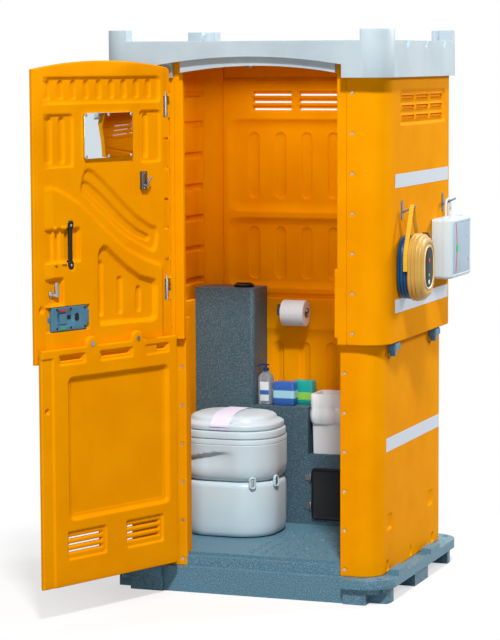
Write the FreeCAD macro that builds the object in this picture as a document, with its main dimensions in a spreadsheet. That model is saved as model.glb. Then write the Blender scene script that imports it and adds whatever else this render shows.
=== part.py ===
import FreeCAD, Part
import math
import os
import Sketcher

DOC = FreeCAD.newDocument("ToiletCabin")
SHEET = DOC.addObject("Spreadsheet::Sheet", "Sizes")

# Driving dimensions in millimetres and degrees, grouped by what they belong to.
SIZES = {
    # upper section: outer plan, heights, wall
    "lap_side": 14, "lap_front": 5.5, "overlap": 80, "upper_tall": 1115,
    "wall": 20, "upper_corner": 100, "seam_land": 10,
    # lower section
    "lower_wide": 1037, "lower_deep": 898, "lower_head": 1065, "lower_corner": 86, "panel_lap": 3,
    # base
    "lip_side": 56.5, "lip_front": 61, "base_corner": 110, "lip_under": 62, "lip_tall": 36,
    "sill_up": 39, "floor_up": 52, "bar_deep": 115, "middle_bar": 182, "bar_inset": 18,
    "front_recess": 30, "recess_left": 90, "recess_right": 27, "fit_gap": 4,
    "undercut_wide": 90, "undercut_deep": 70, "undercut_high": 40, "tie_hole": 24, "tie_side": 50, "tie_front": 52,
    "lug_long": 120, "lug_high": 22, "lug_wide": 40, "lug_front": 310, "lug_rear": 130,
    # doorway: flat land between each rounded corner and the doorway's flange
    "land_left": 161.5, "land_right": 53.5, "flange": 36, "leg_wide": 41, "leg_thick": 4, "jamb_drop": 55,
    "strike_wide": 11, "strike_up": 25, "strike_tall": 260, "post_wide": 40, "post_deep": 30,
    # screws
    "screw_pitch": 150, "head_radius": 6, "head_deep": 3, "shaft_radius": 2.5, "screw_long": 22.5,
    "upper_screw_up": 43, "upper_screw_side": 23.7, "lower_screw_up": 26, "lower_screw_side": 18,
    "bore_gap": 0.05,
    # roof
    "roof_side": 18.5, "roof_out": 45.5, "roof_back": 17.5, "skirt": 115, "roof_thick": 23,
    "roof_corner": 96, "bump_high": 42, "bump_long": 105, "bump_thick": 60, "notch_side": 46,
    "notch_pitch": 250, "cut_gap": 4, "band_drop": 96, "band_rise": 26,
    # doors
    "hinge_side": 53, "hinge_out": 41.5, "door_open": 111.5, "door_lap_left": 77, "door_lap_right": 27, "door_edge": 24,
    "upper_door_out": 12, "upper_door_thick": 28, "door_hang": 34, "door_drop": 78, "arch_rise": 30,
    "door_gap": 2, "lower_door_thick": 22, "lower_door_up": 27, "lower_door_drop": 60, "edge_cut": 15,
    "pin_radius": 5, "hinge_notch": 18, "hinge_tall": 80, "hinge_up": 157, "hinge_drop": 263,
    "pivot_tall": 20, "pivot_up": 16, "pivot_pitch": 111, "pin_reach": 14, "arm_half": 6, "arm_post": 14,
    "arm_clear": 28, "slack": 1,
    "relief_deep": 18, "relief_wide": 70, "relief_tall": 95, "relief_at": 92,
    # side latches that carry the raised section
    "latch_wide": 70, "latch_tall": 54, "latch_front": 302, "latch_rear": 250, "latch_pin": 3,
    "latch_notch": 27, "latch_pin_up": 15, "latch_pin_reach": 12, "latch_bow": 90, "latch_gap": 0.4,
    # openings and relief in the walls
    "vent_front": -286, "vent_rear": 328, "vent_tall": 130, "vent_drop": 165, "vent_sink": 5,
    "slot_wide": 165, "slot_pitch_y": 192, "slot_tall": 16, "slot_pitch": 38,
    "louvre_wide": 167, "louvre_pitch": 202, "louvre_drop": 257, "louvre_tall": 18, "louvre_step": 30,
    "pattern_mid": -21, "panel_side": 34.5, "panel_sink": 5, "rib_count": 6, "rib_pitch": 115.6, "rib_wide": 46,
    "rib_proud": 3,
    "top_panel_tall": 372, "top_panel_drop": 302, "mid_panel_up": 125, "mid_panel_tall": 277,
    "low_panel_up": 50, "low_panel_drop": 134, "rib_inset": 40,
    "indent": 62, "indent_sink": 8, "indent_low": 262, "dimple_wide": 16, "dimple_tall": 42, "dimple_up": 8,
    "dimple_pitch": 310, "dimple_mid": -19,
    "pad_wide": 90, "pad_tall": 50, "pad_drop": 5, "pad_at": 220, "slide_gap": 0.3,
    # reflective strips
    "strip_thick": 0.8, "strip_front": -350, "strip_rear": 374, "strip_tall": 52,
    "strip_top_up": 585, "strip_mid_up": 112, "strip_low": 566,
    # interior: console, tank, toilet
    "console_deep": 165, "console_clear": 0.5, "shelf_high_up": 483, "shelf_low_up": 290, "shelf_beyond": 235,
    "tank_wide": 257.5, "tank_set": 2, "tank_tall": 482, "tank_round": 16,
    "cap_radius": 36, "cap_tall": 18, "cap_neck": 24, "hatch_set": 18, "hatch_wide": 210, "hatch_up": 22,
    "hatch_tall": 214, "hatch_thick": 10, "hatch_pin": 3,
    "toilet_side": 253.5, "toilet_fore": 208, "toilet_wide": 410, "toilet_deep": 384, "toilet_round": 150,
    "waste_tall": 225, "bowl_tall": 174, "join_gap": 0.3, "seat_tall": 30, "lid_tall": 68, "lid_edge": 26,
    "bowl_open": 125, "bowl_deep": 140, "bowl_low": 60, "seat_pin": 5, "axis_back": 149, "seat_ear": 12,
    "seat_half": 136, "ear_wide": 15, "ear_inner": 48, "clip_wide": 34, "clip_tall": 46, "clip_thick": 8,
    "clip_front": -58, "clip_side": -14, "band_wide": 84, "band_thick": 1.2,
    # roll, bottle, packets, bin
    "roll_radius": 54, "core_radius": 21, "roll_long": 100, "roll_beyond": 93, "roll_drop": 55, "roll_wall": 57,
    "rod_radius": 10, "boss_radius": 24, "boss_wide": 18,
    "bottle_set": 58, "bottle_radius": 33, "bottle_tall": 112, "pump_stroke": 12,
    "pack_wide": 96, "pack_tall": 98, "pack_deep": 58, "blue_beyond": 86, "blue_set": 54, "teal_beyond": 58, "teal_set": 43,
    "bin_beyond": 8, "bin_wide": 250, "bin_deep": 148, "bin_tall": 246, "bin_wall": 4, "bin_set": 82, "bin_round": 30,
    # outside kit
    "hook_tall": 74, "hook_wide": 22, "hook_plate": 3, "hook_up": 462, "hook_front": -264, "hook_rear": 295,
    "peg_radius": 3.5, "peg_long": 62, "peg_rise": 25, "peg_up": 26,
    "case_set": 165, "case_long": 285, "case_drop": 252, "case_tall": 232, "case_back": 48, "case_lid": 38,
    "case_round": 14, "case_pin": 3.8, "case_pin_drop": 4, "case_leaf": 45, "grip_half": 37, "grip_thick": 9, "grip_out": 20, "grip_up": 43.7, "kit_gap": 0.4,
    "bag_set": 16, "bag_half": 100, "bag_drop": 301, "bag_tall": 242, "bag_back": 42, "bag_front": 62,
    "bag_round": 88, "strap_half": 60, "strap_thick": 4, "strap_out": 28, "strap_wide": 22, "strap_up": 54,
    # fittings on the inner face of the upper door
    "mirror_left": 194, "mirror_wide": 254, "mirror_drop": 330, "mirror_tall": 169, "mirror_thick": 3,
    "rib_first": 91, "rib_in": 81, "door_ribs": 9, "door_rib_wide": 29, "door_rib_drop": 111, "door_rib_tall": 70,
    "door_sink": 5, "grab_in": 226, "grab_wide": 173, "grab_up": 337, "grab_tall": 184, "grab_step": 27, "grab_half": 24, "pocket_deep": 20,
    "grab_set": 49, "grab_radius": 7, "grab_long": 172, "lever_in": 138, "lever_wide": 86, "lever_up": 210,
    "lever_tall": 102, "lever_set": 62, "lever_mid": 46, "lever_long": 38, "lever_grip": 18, "lever_rise": 38, "spindle": 8, "plate_half": 16, "plate_rise": 30,
    "plate_thick": 3, "lock_in": 266, "lock_wide": 190, "lock_up": 116, "lock_tall": 90, "lock_fit": 0.3,
    "thumb_set": 115, "thumb_wide": 36, "thumb_tall": 38, "thumb_room": 28, "tongue_tall": 15, "tongue_thick": 4.5,
    "peg_plate": 2.5, "coat_left": 122, "coat_wide": 27, "coat_up": 616, "coat_tall": 70,
    "coat_out": 14, "small_head": 4,
    # inner face of the lower door
    "low_field_left": 36, "low_field_in": 131, "low_field_up": 241, "low_field_drop": 108,
    "low_vent_up": 121, "low_vent_rows": 3, "low_vent_pitch": 25, "low_vent_tall": 9, "low_vent_near": 91,
    "low_vent_in": 300, "low_vent_wide": 168, "ear_radius": 28, "ear_near": 200, "ear_in": 257, "ear_up": 8,
    "ear_bolt": 9,
}


class Size:
    """A length with its value now and the sheet expression that gives it."""

    def __init__(self, value, text):
        self.value = value
        self.text = text

    @staticmethod
    def of(item):
        return item if isinstance(item, Size) else Size(float(item), "(%s)" % repr(float(item)))

    def __add__(self, other):
        other = Size.of(other)
        return Size(self.value + other.value, "(%s + %s)" % (self.text, other.text))

    def __sub__(self, other):
        other = Size.of(other)
        return Size(self.value - other.value, "(%s - %s)" % (self.text, other.text))

    def __mul__(self, other):
        other = Size.of(other)
        return Size(self.value * other.value, "(%s * %s)" % (self.text, other.text))

    def __truediv__(self, other):
        other = Size.of(other)
        return Size(self.value / other.value, "(%s / %s)" % (self.text, other.text))

    def __neg__(self):
        return Size(-self.value, "(0 - %s)" % self.text)

    def __radd__(self, other):
        return Size.of(other) + self

    def __rsub__(self, other):
        return Size.of(other) - self

    def __rmul__(self, other):
        return Size.of(other) * self


class Sizes:
    """Gives each alias of the sheet as a Size attribute."""

    def __getattr__(self, alias):
        return Size(float(SIZES[alias]), "Sizes." + alias)


def fill_sheet():
    """Writes every driving dimension into a cell with its alias."""
    for row, (alias, value) in enumerate(SIZES.items(), start=1):
        SHEET.set("A%d" % row, alias.replace("_", " "))
        SHEET.set("B%d" % row, str(value))
        SHEET.setAlias("B%d" % row, alias)
    DOC.recompute()


fill_sheet()
V = Sizes()
X_AXIS = FreeCAD.Vector(1, 0, 0)
Y_AXIS = FreeCAD.Vector(0, 1, 0)
Z_AXIS = FreeCAD.Vector(0, 0, 1)
NODES = []


def bind(target, prop, size):
    """Binds one property to the sheet expression of a size."""
    target.setExpression(prop, Size.of(size).text)


def set_place(target, x=0, y=0, z=0):
    """Binds an object's position."""
    bind(target, "Placement.Base.x", x)
    bind(target, "Placement.Base.y", y)
    bind(target, "Placement.Base.z", z)


def box(x, y, z):
    """Box between the given pairs of limits along X, Y and Z."""
    made = DOC.addObject("Part::Box", "Block")
    limits = [(Size.of(low), Size.of(high)) for low, high in (x, y, z)]
    for prop, (low, high) in zip(("Length", "Width", "Height"), limits):
        bind(made, prop, high - low)
    set_place(made, *[low for low, high in limits])
    return made


def cylinder(axis, centre, radius, span):
    """Round bar along X, Y or Z; centre holds the two other coordinates in order."""
    made = DOC.addObject("Part::Cylinder", "Round")
    low, high = Size.of(span[0]), Size.of(span[1])
    bind(made, "Radius", radius)
    bind(made, "Height", high - low)
    first, second = centre
    if axis == "X":
        made.Placement.Rotation = FreeCAD.Rotation(Y_AXIS, 90)
        set_place(made, low, first, second)
    elif axis == "Y":
        made.Placement.Rotation = FreeCAD.Rotation(X_AXIS, -90)
        set_place(made, first, low, second)
    else:
        set_place(made, first, second, low)
    return made


def fuse(*parts):
    """Union of several pieces of one moulding."""
    made = DOC.addObject("Part::MultiFuse", "Union")
    made.Shapes = list(parts)
    made.Refine = True
    return made


def common(base, tool):
    """What two shapes share."""
    made = DOC.addObject("Part::MultiCommon", "Shared")
    made.Shapes = [base, tool]
    return made


def cut(base, *tools):
    """Base less every tool."""
    made = DOC.addObject("Part::Cut", "Cut")
    made.Base = base
    made.Tool = tools[0] if len(tools) == 1 else fuse(*tools)
    return made


def group(*parts):
    """Separate solids of identical fasteners or fittings kept as one node."""
    made = DOC.addObject("Part::Compound", "Group")
    made.Links = list(parts)
    return made


def round_edges(base, radius, wanted):
    """Rounds the edges of base for which wanted(edge) is true."""
    DOC.recompute()
    made = DOC.addObject("Part::Fillet", "Rounded")
    made.Base = base
    size = Size.of(radius).value
    edges = [index for index, edge in enumerate(base.Shape.Edges, start=1) if wanted(edge)]
    made.Edges = [(index, size, size) for index in edges]
    return made


def direction(edge):
    """Unit direction of a straight edge, or None for a curve."""
    if edge.Curve.TypeId != "Part::GeomLine":
        return None
    return (edge.Vertexes[1].Point - edge.Vertexes[0].Point).normalize()


def along(axis):
    """Test for straight edges parallel to the axis."""
    def test(edge):
        run = direction(edge)
        return run is not None and abs(run.dot(axis)) > 0.999
    return test


def rounded_box(x, y, z, radius, axis=Z_AXIS):
    """Box whose four edges along one axis are rounded."""
    return round_edges(box(x, y, z), radius, along(axis))


def new_body(name):
    """Empty body that features are added to."""
    return DOC.addObject("PartDesign::Body", name)


def plane_of(body, role):
    """Origin plane or axis of a body by its role."""
    for feature in body.Origin.OriginFeatures:
        if feature.Role == role:
            return feature
    raise ValueError(role)


def outline(body, points, role):
    """Closed sketch through the points, each one bound to the sheet."""
    sketch = body.newObject("Sketcher::SketchObject", "Outline")
    sketch.AttachmentSupport = [(plane_of(body, role), "")]
    sketch.MapMode = "FlatFace"
    places = [(Size.of(x), Size.of(y)) for x, y in points]
    vectors = [FreeCAD.Vector(x.value, y.value, 0) for x, y in places]
    count = len(vectors)
    for index in range(count):
        sketch.addGeometry(Part.LineSegment(vectors[index], vectors[(index + 1) % count]), False)
    for index in range(count):
        sketch.addConstraint(Sketcher.Constraint("Coincident", index, 2, (index + 1) % count, 1))
    for index, (x, y) in enumerate(places):
        for kind, size in (("DistanceX", x), ("DistanceY", y)):
            number = sketch.addConstraint(Sketcher.Constraint(kind, index, 1, size.value))
            sketch.setExpression("Constraints[%d]" % number, size.text)
    return sketch


def pad(body, points, low, high):
    """Solid between two heights with the given plan."""
    sketch = outline(body, points, "XY_Plane")
    made = body.newObject("PartDesign::Pad", "Pad")
    made.Profile = sketch
    bind(made, "Length", Size.of(high) - low)
    bind(body, "Placement.Base.z", low)
    return made


def round_upright(body, feature, corners, radius):
    """Rounds the upright edges of a body's feature that stand at the given corners."""
    DOC.recompute()
    names = []
    for index, edge in enumerate(feature.Shape.Edges, start=1):
        if not along(Z_AXIS)(edge):
            continue
        point = edge.Vertexes[0].Point
        for x, y in corners:
            if abs(point.x - Size.of(x).value) < 0.01 and abs(point.y - Size.of(y).value) < 0.01:
                names.append("Edge%d" % index)
    made = body.newObject("PartDesign::Fillet", "Round")
    made.Base = (feature, names)
    bind(made, "Radius", radius)
    return made


def revolved(name, points, x, y, z):
    """Solid of revolution about an upright axis; points are radius and height."""
    body = new_body(name)
    sketch = outline(body, points, "XZ_Plane")
    made = body.newObject("PartDesign::Revolution", "Turn")
    made.Profile = sketch
    made.ReferenceAxis = (sketch, ["V_Axis"])
    made.Angle = 360
    set_place(body, x, y, z)
    return body


def keep(made, name):
    """Names a finished sub-part and adds it to the list of nodes."""
    made.Label = name
    NODES.append(made)
    return made


def hang(made, name):
    """Turns a piece drawn on the shut door to the open pose and keeps it."""
    made.Placement.Rotation = FreeCAD.Rotation(-Z_AXIS, SIZES["door_open"])
    bind(made, "Placement.Base.x", HINGE_X)
    bind(made, "Placement.Base.y", HINGE_Y)
    bind(made, "Placement.Rotation.Angle", V.door_open)
    return keep(made, name)


# Derived places shared by several pieces.
LOWER_X = V.lower_wide / 2
LOWER_Y = V.lower_deep / 2
UPPER_X = LOWER_X + V.wall + V.lap_side
UPPER_Y = LOWER_Y + V.wall + V.lap_front
BASE_X = LOWER_X + V.lip_side
BASE_Y = LOWER_Y + V.lip_front
DECK_X = LOWER_X - V.wall - V.fit_gap
DECK_Y = LOWER_Y - V.wall - V.fit_gap
INNER_Y = LOWER_Y - V.wall
UPPER_EDGES = {1: UPPER_X - V.upper_corner - V.land_right, -1: -(UPPER_X - V.upper_corner - V.land_left)}
DOOR_RIGHT = UPPER_EDGES[1] - V.flange
DOOR_LEFT = -UPPER_EDGES[-1] - V.flange
LOWER_EDGES = {1: DOOR_RIGHT + V.panel_lap, -1: -(DOOR_LEFT + V.panel_lap)}
SIDES = ((1, "right"), (-1, "left"))
UPPER_FOOT = V.lower_head - V.overlap
UPPER_HEAD = UPPER_FOOT + V.upper_tall
UPPER_SEAM = UPPER_X - V.upper_corner - V.seam_land
LOWER_SEAM = LOWER_X - V.lower_corner - V.seam_land
PANEL_HALF = UPPER_SEAM - V.panel_side
LIP_TOP = V.lip_under + V.lip_tall
SILL_TOP = LIP_TOP + V.sill_up
FLOOR_TOP = LIP_TOP + V.floor_up
JAMB_HEAD = UPPER_HEAD - V.jamb_drop
STRIKE_FOOT = UPPER_FOOT + V.strike_up
STRIKE_HEAD = STRIKE_FOOT + V.strike_tall
UPPER_SCREW_FIRST = UPPER_FOOT + V.upper_screw_up
LOWER_SCREW_FIRST = LIP_TOP + V.lower_screw_up
ROOF_FRONT = UPPER_Y + V.roof_out
ROOF_REAR = UPPER_Y + V.roof_back
ROOF_FOOT = UPPER_HEAD - V.skirt
ROOF_TOP = UPPER_HEAD + V.roof_thick
BAND_END = UPPER_HEAD - V.band_drop
HINGE_X = -(DOOR_LEFT + V.hinge_side)
HINGE_Y = -(UPPER_Y + V.hinge_out)
DOOR_WIDE = DOOR_LEFT + DOOR_RIGHT + V.door_lap_left + V.door_lap_right
DOOR_FREE = DOOR_WIDE - V.door_edge
UPPER_DOOR_FOOT = UPPER_FOOT - V.door_hang
UPPER_DOOR_END = UPPER_HEAD - V.door_drop
LOWER_DOOR_FOOT = LIP_TOP + V.lower_door_up
LOWER_DOOR_HEAD = V.lower_head - V.lower_door_drop
HINGE_LOW = UPPER_FOOT + V.hinge_up
HINGE_HIGH = UPPER_HEAD - V.hinge_drop
PIVOT_LOW = LOWER_DOOR_FOOT + V.pivot_up
PIVOT_HIGH = PIVOT_LOW + V.pivot_pitch
VENT_HIGH = UPPER_HEAD - V.vent_drop
VENT_LOW = VENT_HIGH - V.vent_tall
LOUVRE_LOW = UPPER_HEAD - V.louvre_drop
TOP_PANEL_HIGH = UPPER_HEAD - V.top_panel_drop
TOP_PANEL_LOW = TOP_PANEL_HIGH - V.top_panel_tall
MID_PANEL_LOW = UPPER_FOOT + V.mid_panel_up
MID_PANEL_HIGH = MID_PANEL_LOW + V.mid_panel_tall
LOW_PANEL_LOW = FLOOR_TOP + V.low_panel_up
LOW_PANEL_HIGH = V.lower_head - V.low_panel_drop
STRIP_TOP = UPPER_FOOT + V.strip_top_up
STRIP_MID = UPPER_FOOT + V.strip_mid_up
DIMPLE_LOW = LIP_TOP + V.dimple_up
TIE_X = BASE_X - V.tie_side
TIE_Y = BASE_Y - V.tie_front
CONSOLE_FRONT = INNER_Y - V.console_deep
SHELF_HIGH = FLOOR_TOP + V.shelf_high_up
SHELF_LOW = FLOOR_TOP + V.shelf_low_up
TANK_RIGHT = V.wall - LOWER_X + V.tank_wide
TANK_FRONT = CONSOLE_FRONT + V.tank_set
TANK_HIGH = SHELF_HIGH + V.tank_tall
SHELF_EDGE = TANK_RIGHT + V.shelf_beyond
HATCH_LEFT = SHELF_EDGE + V.hatch_set
HATCH_LOW = FLOOR_TOP + V.hatch_up
TOILET_X = V.wall - LOWER_X + V.toilet_side
TOILET_Y = CONSOLE_FRONT - V.toilet_fore
SEAT_AXIS = TOILET_Y + V.axis_back
SEAT_BACK = TOILET_Y + V.seat_half
ROLL_Z = V.lower_head - V.roll_drop
ROLL_LEFT = TANK_RIGHT + V.roll_beyond
BOTTLE_X = TANK_RIGHT + V.bottle_radius
BOTTLE_Y = CONSOLE_FRONT + V.bottle_set
BLUE_X = BOTTLE_X + V.blue_beyond
BLUE_Y = CONSOLE_FRONT + V.blue_set
TEAL_X = BLUE_X + V.teal_beyond
TEAL_Y = INNER_Y - V.teal_set
BIN_LEFT = SHELF_EDGE + V.bin_beyond
BIN_Y = CONSOLE_FRONT + V.bin_set
HOOK_LOW = UPPER_FOOT + V.hook_up
CASE_LOW = HOOK_LOW - V.case_drop
GRIP_LOW = HOOK_LOW + V.grip_up
BAG_MID = V.hook_front + V.bag_set
BAG_LOW = HOOK_LOW - V.bag_drop
STRAP_LOW = HOOK_LOW + V.strap_up
CASE_FRONT = V.hook_rear - V.case_set
MIRROR_LOW = UPPER_DOOR_END - V.mirror_drop
DOOR_RIB_LOW = UPPER_DOOR_END - V.door_rib_drop
GRAB_LEFT = DOOR_FREE - V.grab_in
GRAB_X = GRAB_LEFT + V.grab_set
GRAB_LOW = UPPER_DOOR_FOOT + V.grab_up
LEVER_LEFT = DOOR_FREE - V.lever_in
LEVER_X = LEVER_LEFT + V.lever_set
LEVER_LOW = UPPER_DOOR_FOOT + V.lever_up
LEVER_Z = LEVER_LOW + V.lever_mid
LOCK_LEFT = DOOR_FREE - V.lock_in
THUMB_X = LOCK_LEFT + V.thumb_set
LOCK_LOW = UPPER_DOOR_FOOT + V.lock_up
COAT_LOW = UPPER_DOOR_FOOT + V.coat_up
EAR_FAR = DOOR_FREE - V.ear_in
LOW_VENT_FAR = DOOR_FREE - V.low_vent_in
LOW_FIELD_RIGHT = DOOR_FREE - V.low_field_in
LOW_FIELD_LOW = LOWER_DOOR_FOOT + V.low_field_up
LOW_FIELD_HIGH = LOWER_DOOR_HEAD - V.low_field_drop
LOW_VENT_LOW = LOWER_DOOR_FOOT + V.low_vent_up


def span(side, near, far):
    """Limits along X of something that lies between two distances on one side."""
    near, far = Size.of(near), Size.of(far)
    return (near, far) if side > 0 else (-far, -near)


def base_pallet():
    """Moulded base with a rounded lip, three cross bars that leave fork ways, and the raised floor."""
    slab = rounded_box((-BASE_X, BASE_X), (-BASE_Y, BASE_Y), (V.lip_under, LIP_TOP), V.base_corner)
    foot_x, foot_y = BASE_X - V.bar_inset, BASE_Y - V.bar_inset
    feet_plan = rounded_box((-foot_x, foot_x), (-foot_y, foot_y), (0, V.lip_under), V.base_corner - V.bar_inset)
    bars = fuse(
        box((-foot_x, foot_x), (-foot_y, V.bar_deep - foot_y), (0, V.lip_under)),
        box((-foot_x, foot_x), (-V.middle_bar / 2, V.middle_bar / 2), (0, V.lip_under)),
        box((-foot_x, foot_x), (foot_y - V.bar_deep, foot_y), (0, V.lip_under)),
    )
    deck = rounded_box((-DECK_X, DECK_X), (-DECK_Y, DECK_Y), (V.lip_under, FLOOR_TOP), V.lower_corner - V.wall)
    sill = box((LOWER_EDGES[-1], LOWER_EDGES[1]), (-LOWER_Y, -DECK_Y), (V.lip_under, SILL_TOP))
    lugs = []
    for side, _ in SIDES:
        for place in (-V.lug_front, V.lug_rear):
            lugs.append(box(span(side, BASE_X - V.lug_wide, BASE_X),
                            (place - V.lug_long / 2, place + V.lug_long / 2),
                            (LIP_TOP, LIP_TOP + V.lug_high)))
    cuts = [box((-DOOR_LEFT - V.recess_left, DOOR_RIGHT + V.recess_right),
                (-BASE_Y - 1, V.front_recess - BASE_Y), (-1, LIP_TOP + 1))]
    for side, _ in SIDES:
        for end in (1, -1):
            out = end * BASE_Y
            deep = (out - V.undercut_deep, out) if end > 0 else (out, out + V.undercut_deep)
            cuts.append(box(span(side, TIE_X - V.undercut_wide / 2, TIE_X + V.undercut_wide / 2),
                            deep, (-1, V.undercut_high)))
            cuts.append(cylinder("Z", (side * TIE_X, end * TIE_Y), V.tie_hole / 2,
                                 (V.undercut_high - 1, LIP_TOP + 1)))
    keep(cut(fuse(slab, common(bars, feet_plan), deck, sill, *lugs), *cuts), "base_pallet")


def side_shell(side, half_x, half_y, edge, seam, corner, foot, head):
    """Side wall that wraps round its front corner to the doorway and round its rear corner to the back wall."""
    body = new_body("SideShell")
    far, near = half_x, half_x - V.wall
    points = [
        (edge, -half_y), (side * far, -half_y), (side * far, half_y), (side * seam, half_y),
        (side * seam, half_y - V.wall), (side * near, half_y - V.wall),
        (side * near, V.wall - half_y), (edge, V.wall - half_y),
    ]
    solid = pad(body, points, foot, head)
    outer = round_upright(body, solid, [points[1], points[2]], corner)
    round_upright(body, outer, [points[5], points[6]], corner - V.wall)
    return body


def screw_heights(first, count):
    """Heights of a column of screws."""
    return [first + V.screw_pitch * index for index in range(count)]


def screw(x, face, z):
    """Countersunk screw driven in along Y, head flush with the face."""
    head = cylinder("Y", (x, z), V.head_radius, (face + V.slack / 2, face + V.head_deep))
    shaft = cylinder("Y", (x, z), V.shaft_radius, (face + V.slack / 2, face + V.screw_long))
    return fuse(head, shaft)


def screw_bore(x, face, z, deep):
    """Hole and counterbore for one screw."""
    head = cylinder("Y", (x, z), V.head_radius + V.bore_gap, (face - 1, face + V.head_deep + V.bore_gap))
    shaft = cylinder("Y", (x, z), V.shaft_radius + V.bore_gap, (face - 1, face + deep))
    return fuse(head, shaft)


UPPER_SCREWS = 7
LOWER_SCREWS = 6


def upper_screw_x(side):
    """Distance of the upper screw column from the centre line."""
    return UPPER_EDGES[side] + side * V.upper_screw_side


def lower_screw_x(side):
    """Distance of the lower screw column from the centre line."""
    return LOWER_EDGES[side] + side * V.lower_screw_side


def lower_walls():
    """Lower side walls with latch pockets, seats for the lowered position and moulded dimples, and the back."""
    posts = []
    for side, word in SIDES:
        shell = side_shell(side, LOWER_X, LOWER_Y, LOWER_EDGES[side], LOWER_SEAM, V.lower_corner,
                           LIP_TOP, V.lower_head)
        tools = []
        for place in (-V.latch_front, V.latch_rear):
            tools.append(box(span(side, LOWER_X - V.indent_sink, LOWER_X + 1),
                             (place - V.indent / 2, place + V.indent / 2),
                             (V.indent_low, V.indent_low + V.indent)))
        for index in range(3):
            middle = V.dimple_mid + V.dimple_pitch * (index - 1)
            tools.append(box(span(side, LOWER_X - V.indent_sink, LOWER_X + 1),
                             (middle - V.dimple_wide / 2, middle + V.dimple_wide / 2),
                             (DIMPLE_LOW, DIMPLE_LOW + V.dimple_tall)))
        for z in screw_heights(LOWER_SCREW_FIRST, LOWER_SCREWS):
            tools.append(screw_bore(lower_screw_x(side), -LOWER_Y, z, V.wall + 1))
        keep(cut(shell, *tools), "lower_wall_" + word)
        post = box(span(side, side * LOWER_EDGES[side], side * LOWER_EDGES[side] + V.post_wide),
                   (-INNER_Y, V.post_deep - INNER_Y), (FLOOR_TOP, V.lower_head))
        bores = [cylinder("Y", (lower_screw_x(side), z), V.shaft_radius + V.bore_gap,
                          (-INNER_Y - 1, V.screw_long - LOWER_Y + 1))
                 for z in screw_heights(LOWER_SCREW_FIRST, LOWER_SCREWS)]
        posts.append(cut(post, *bores))
    keep(group(*posts), "lower_posts")
    back = box((-LOWER_SEAM, LOWER_SEAM), (INNER_Y, LOWER_Y), (LIP_TOP, V.lower_head))
    keep(ribbed(back, INNER_Y, LOW_PANEL_LOW, LOW_PANEL_HIGH), "lower_wall_back")
    keep(group(*[screw(lower_screw_x(side), -LOWER_Y, z)
                 for side, _ in SIDES for z in screw_heights(LOWER_SCREW_FIRST, LOWER_SCREWS)]), "lower_screws")


def ribbed(wall, face, low, high):
    """Sinks a wide panel into the inner face of a back wall and leaves upright ribs standing in it."""
    field = box((V.pattern_mid - PANEL_HALF, V.pattern_mid + PANEL_HALF), (face - 1, face + V.panel_sink),
                (low, high))
    ribs = []
    for index in range(SIZES["rib_count"]):
        middle = V.pattern_mid + V.rib_pitch * (index + 0.5) - V.rib_pitch * V.rib_count / 2
        ribs.append(box((middle - V.rib_wide / 2, middle + V.rib_wide / 2),
                        (face + V.panel_sink - V.rib_proud, face + V.panel_sink + 1),
                        (low + V.rib_inset, high - V.rib_inset)))
    return cut(wall, cut(field, *ribs))


def guide_pads():
    """Slide pads on the head of the lower walls that the upper section runs on."""
    high = V.lower_head - V.pad_drop
    pads = []
    for place in (-V.pad_at, V.pad_at):
        run = (place - V.pad_wide / 2, place + V.pad_wide / 2)
        for side, _ in SIDES:
            pads.append(box(span(side, LOWER_X, UPPER_X - V.wall - V.slide_gap), run, (high - V.pad_tall, high)))
        pads.append(box(run, (LOWER_Y, UPPER_Y - V.wall - V.slide_gap), (high - V.pad_tall, high)))
    keep(group(*pads), "guide_pads")


def side_vent():
    """Tools for the vent in the right wall: a shallow field and three rows of three slots."""
    tools = [box((UPPER_X - V.vent_sink, UPPER_X + 1), (V.vent_front, V.vent_rear), (VENT_LOW, VENT_HIGH))]
    middle = (V.vent_front + V.vent_rear) / 2
    for row in range(3):
        low = (VENT_LOW + VENT_HIGH) / 2 + V.slot_pitch * (row - 1) - V.slot_tall / 2
        for column in range(3):
            place = middle + V.slot_pitch_y * (column - 1)
            tools.append(box((UPPER_X - V.wall - 1, UPPER_X), (place - V.slot_wide / 2, place + V.slot_wide / 2),
                             (low, low + V.slot_tall)))
    return tools


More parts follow.
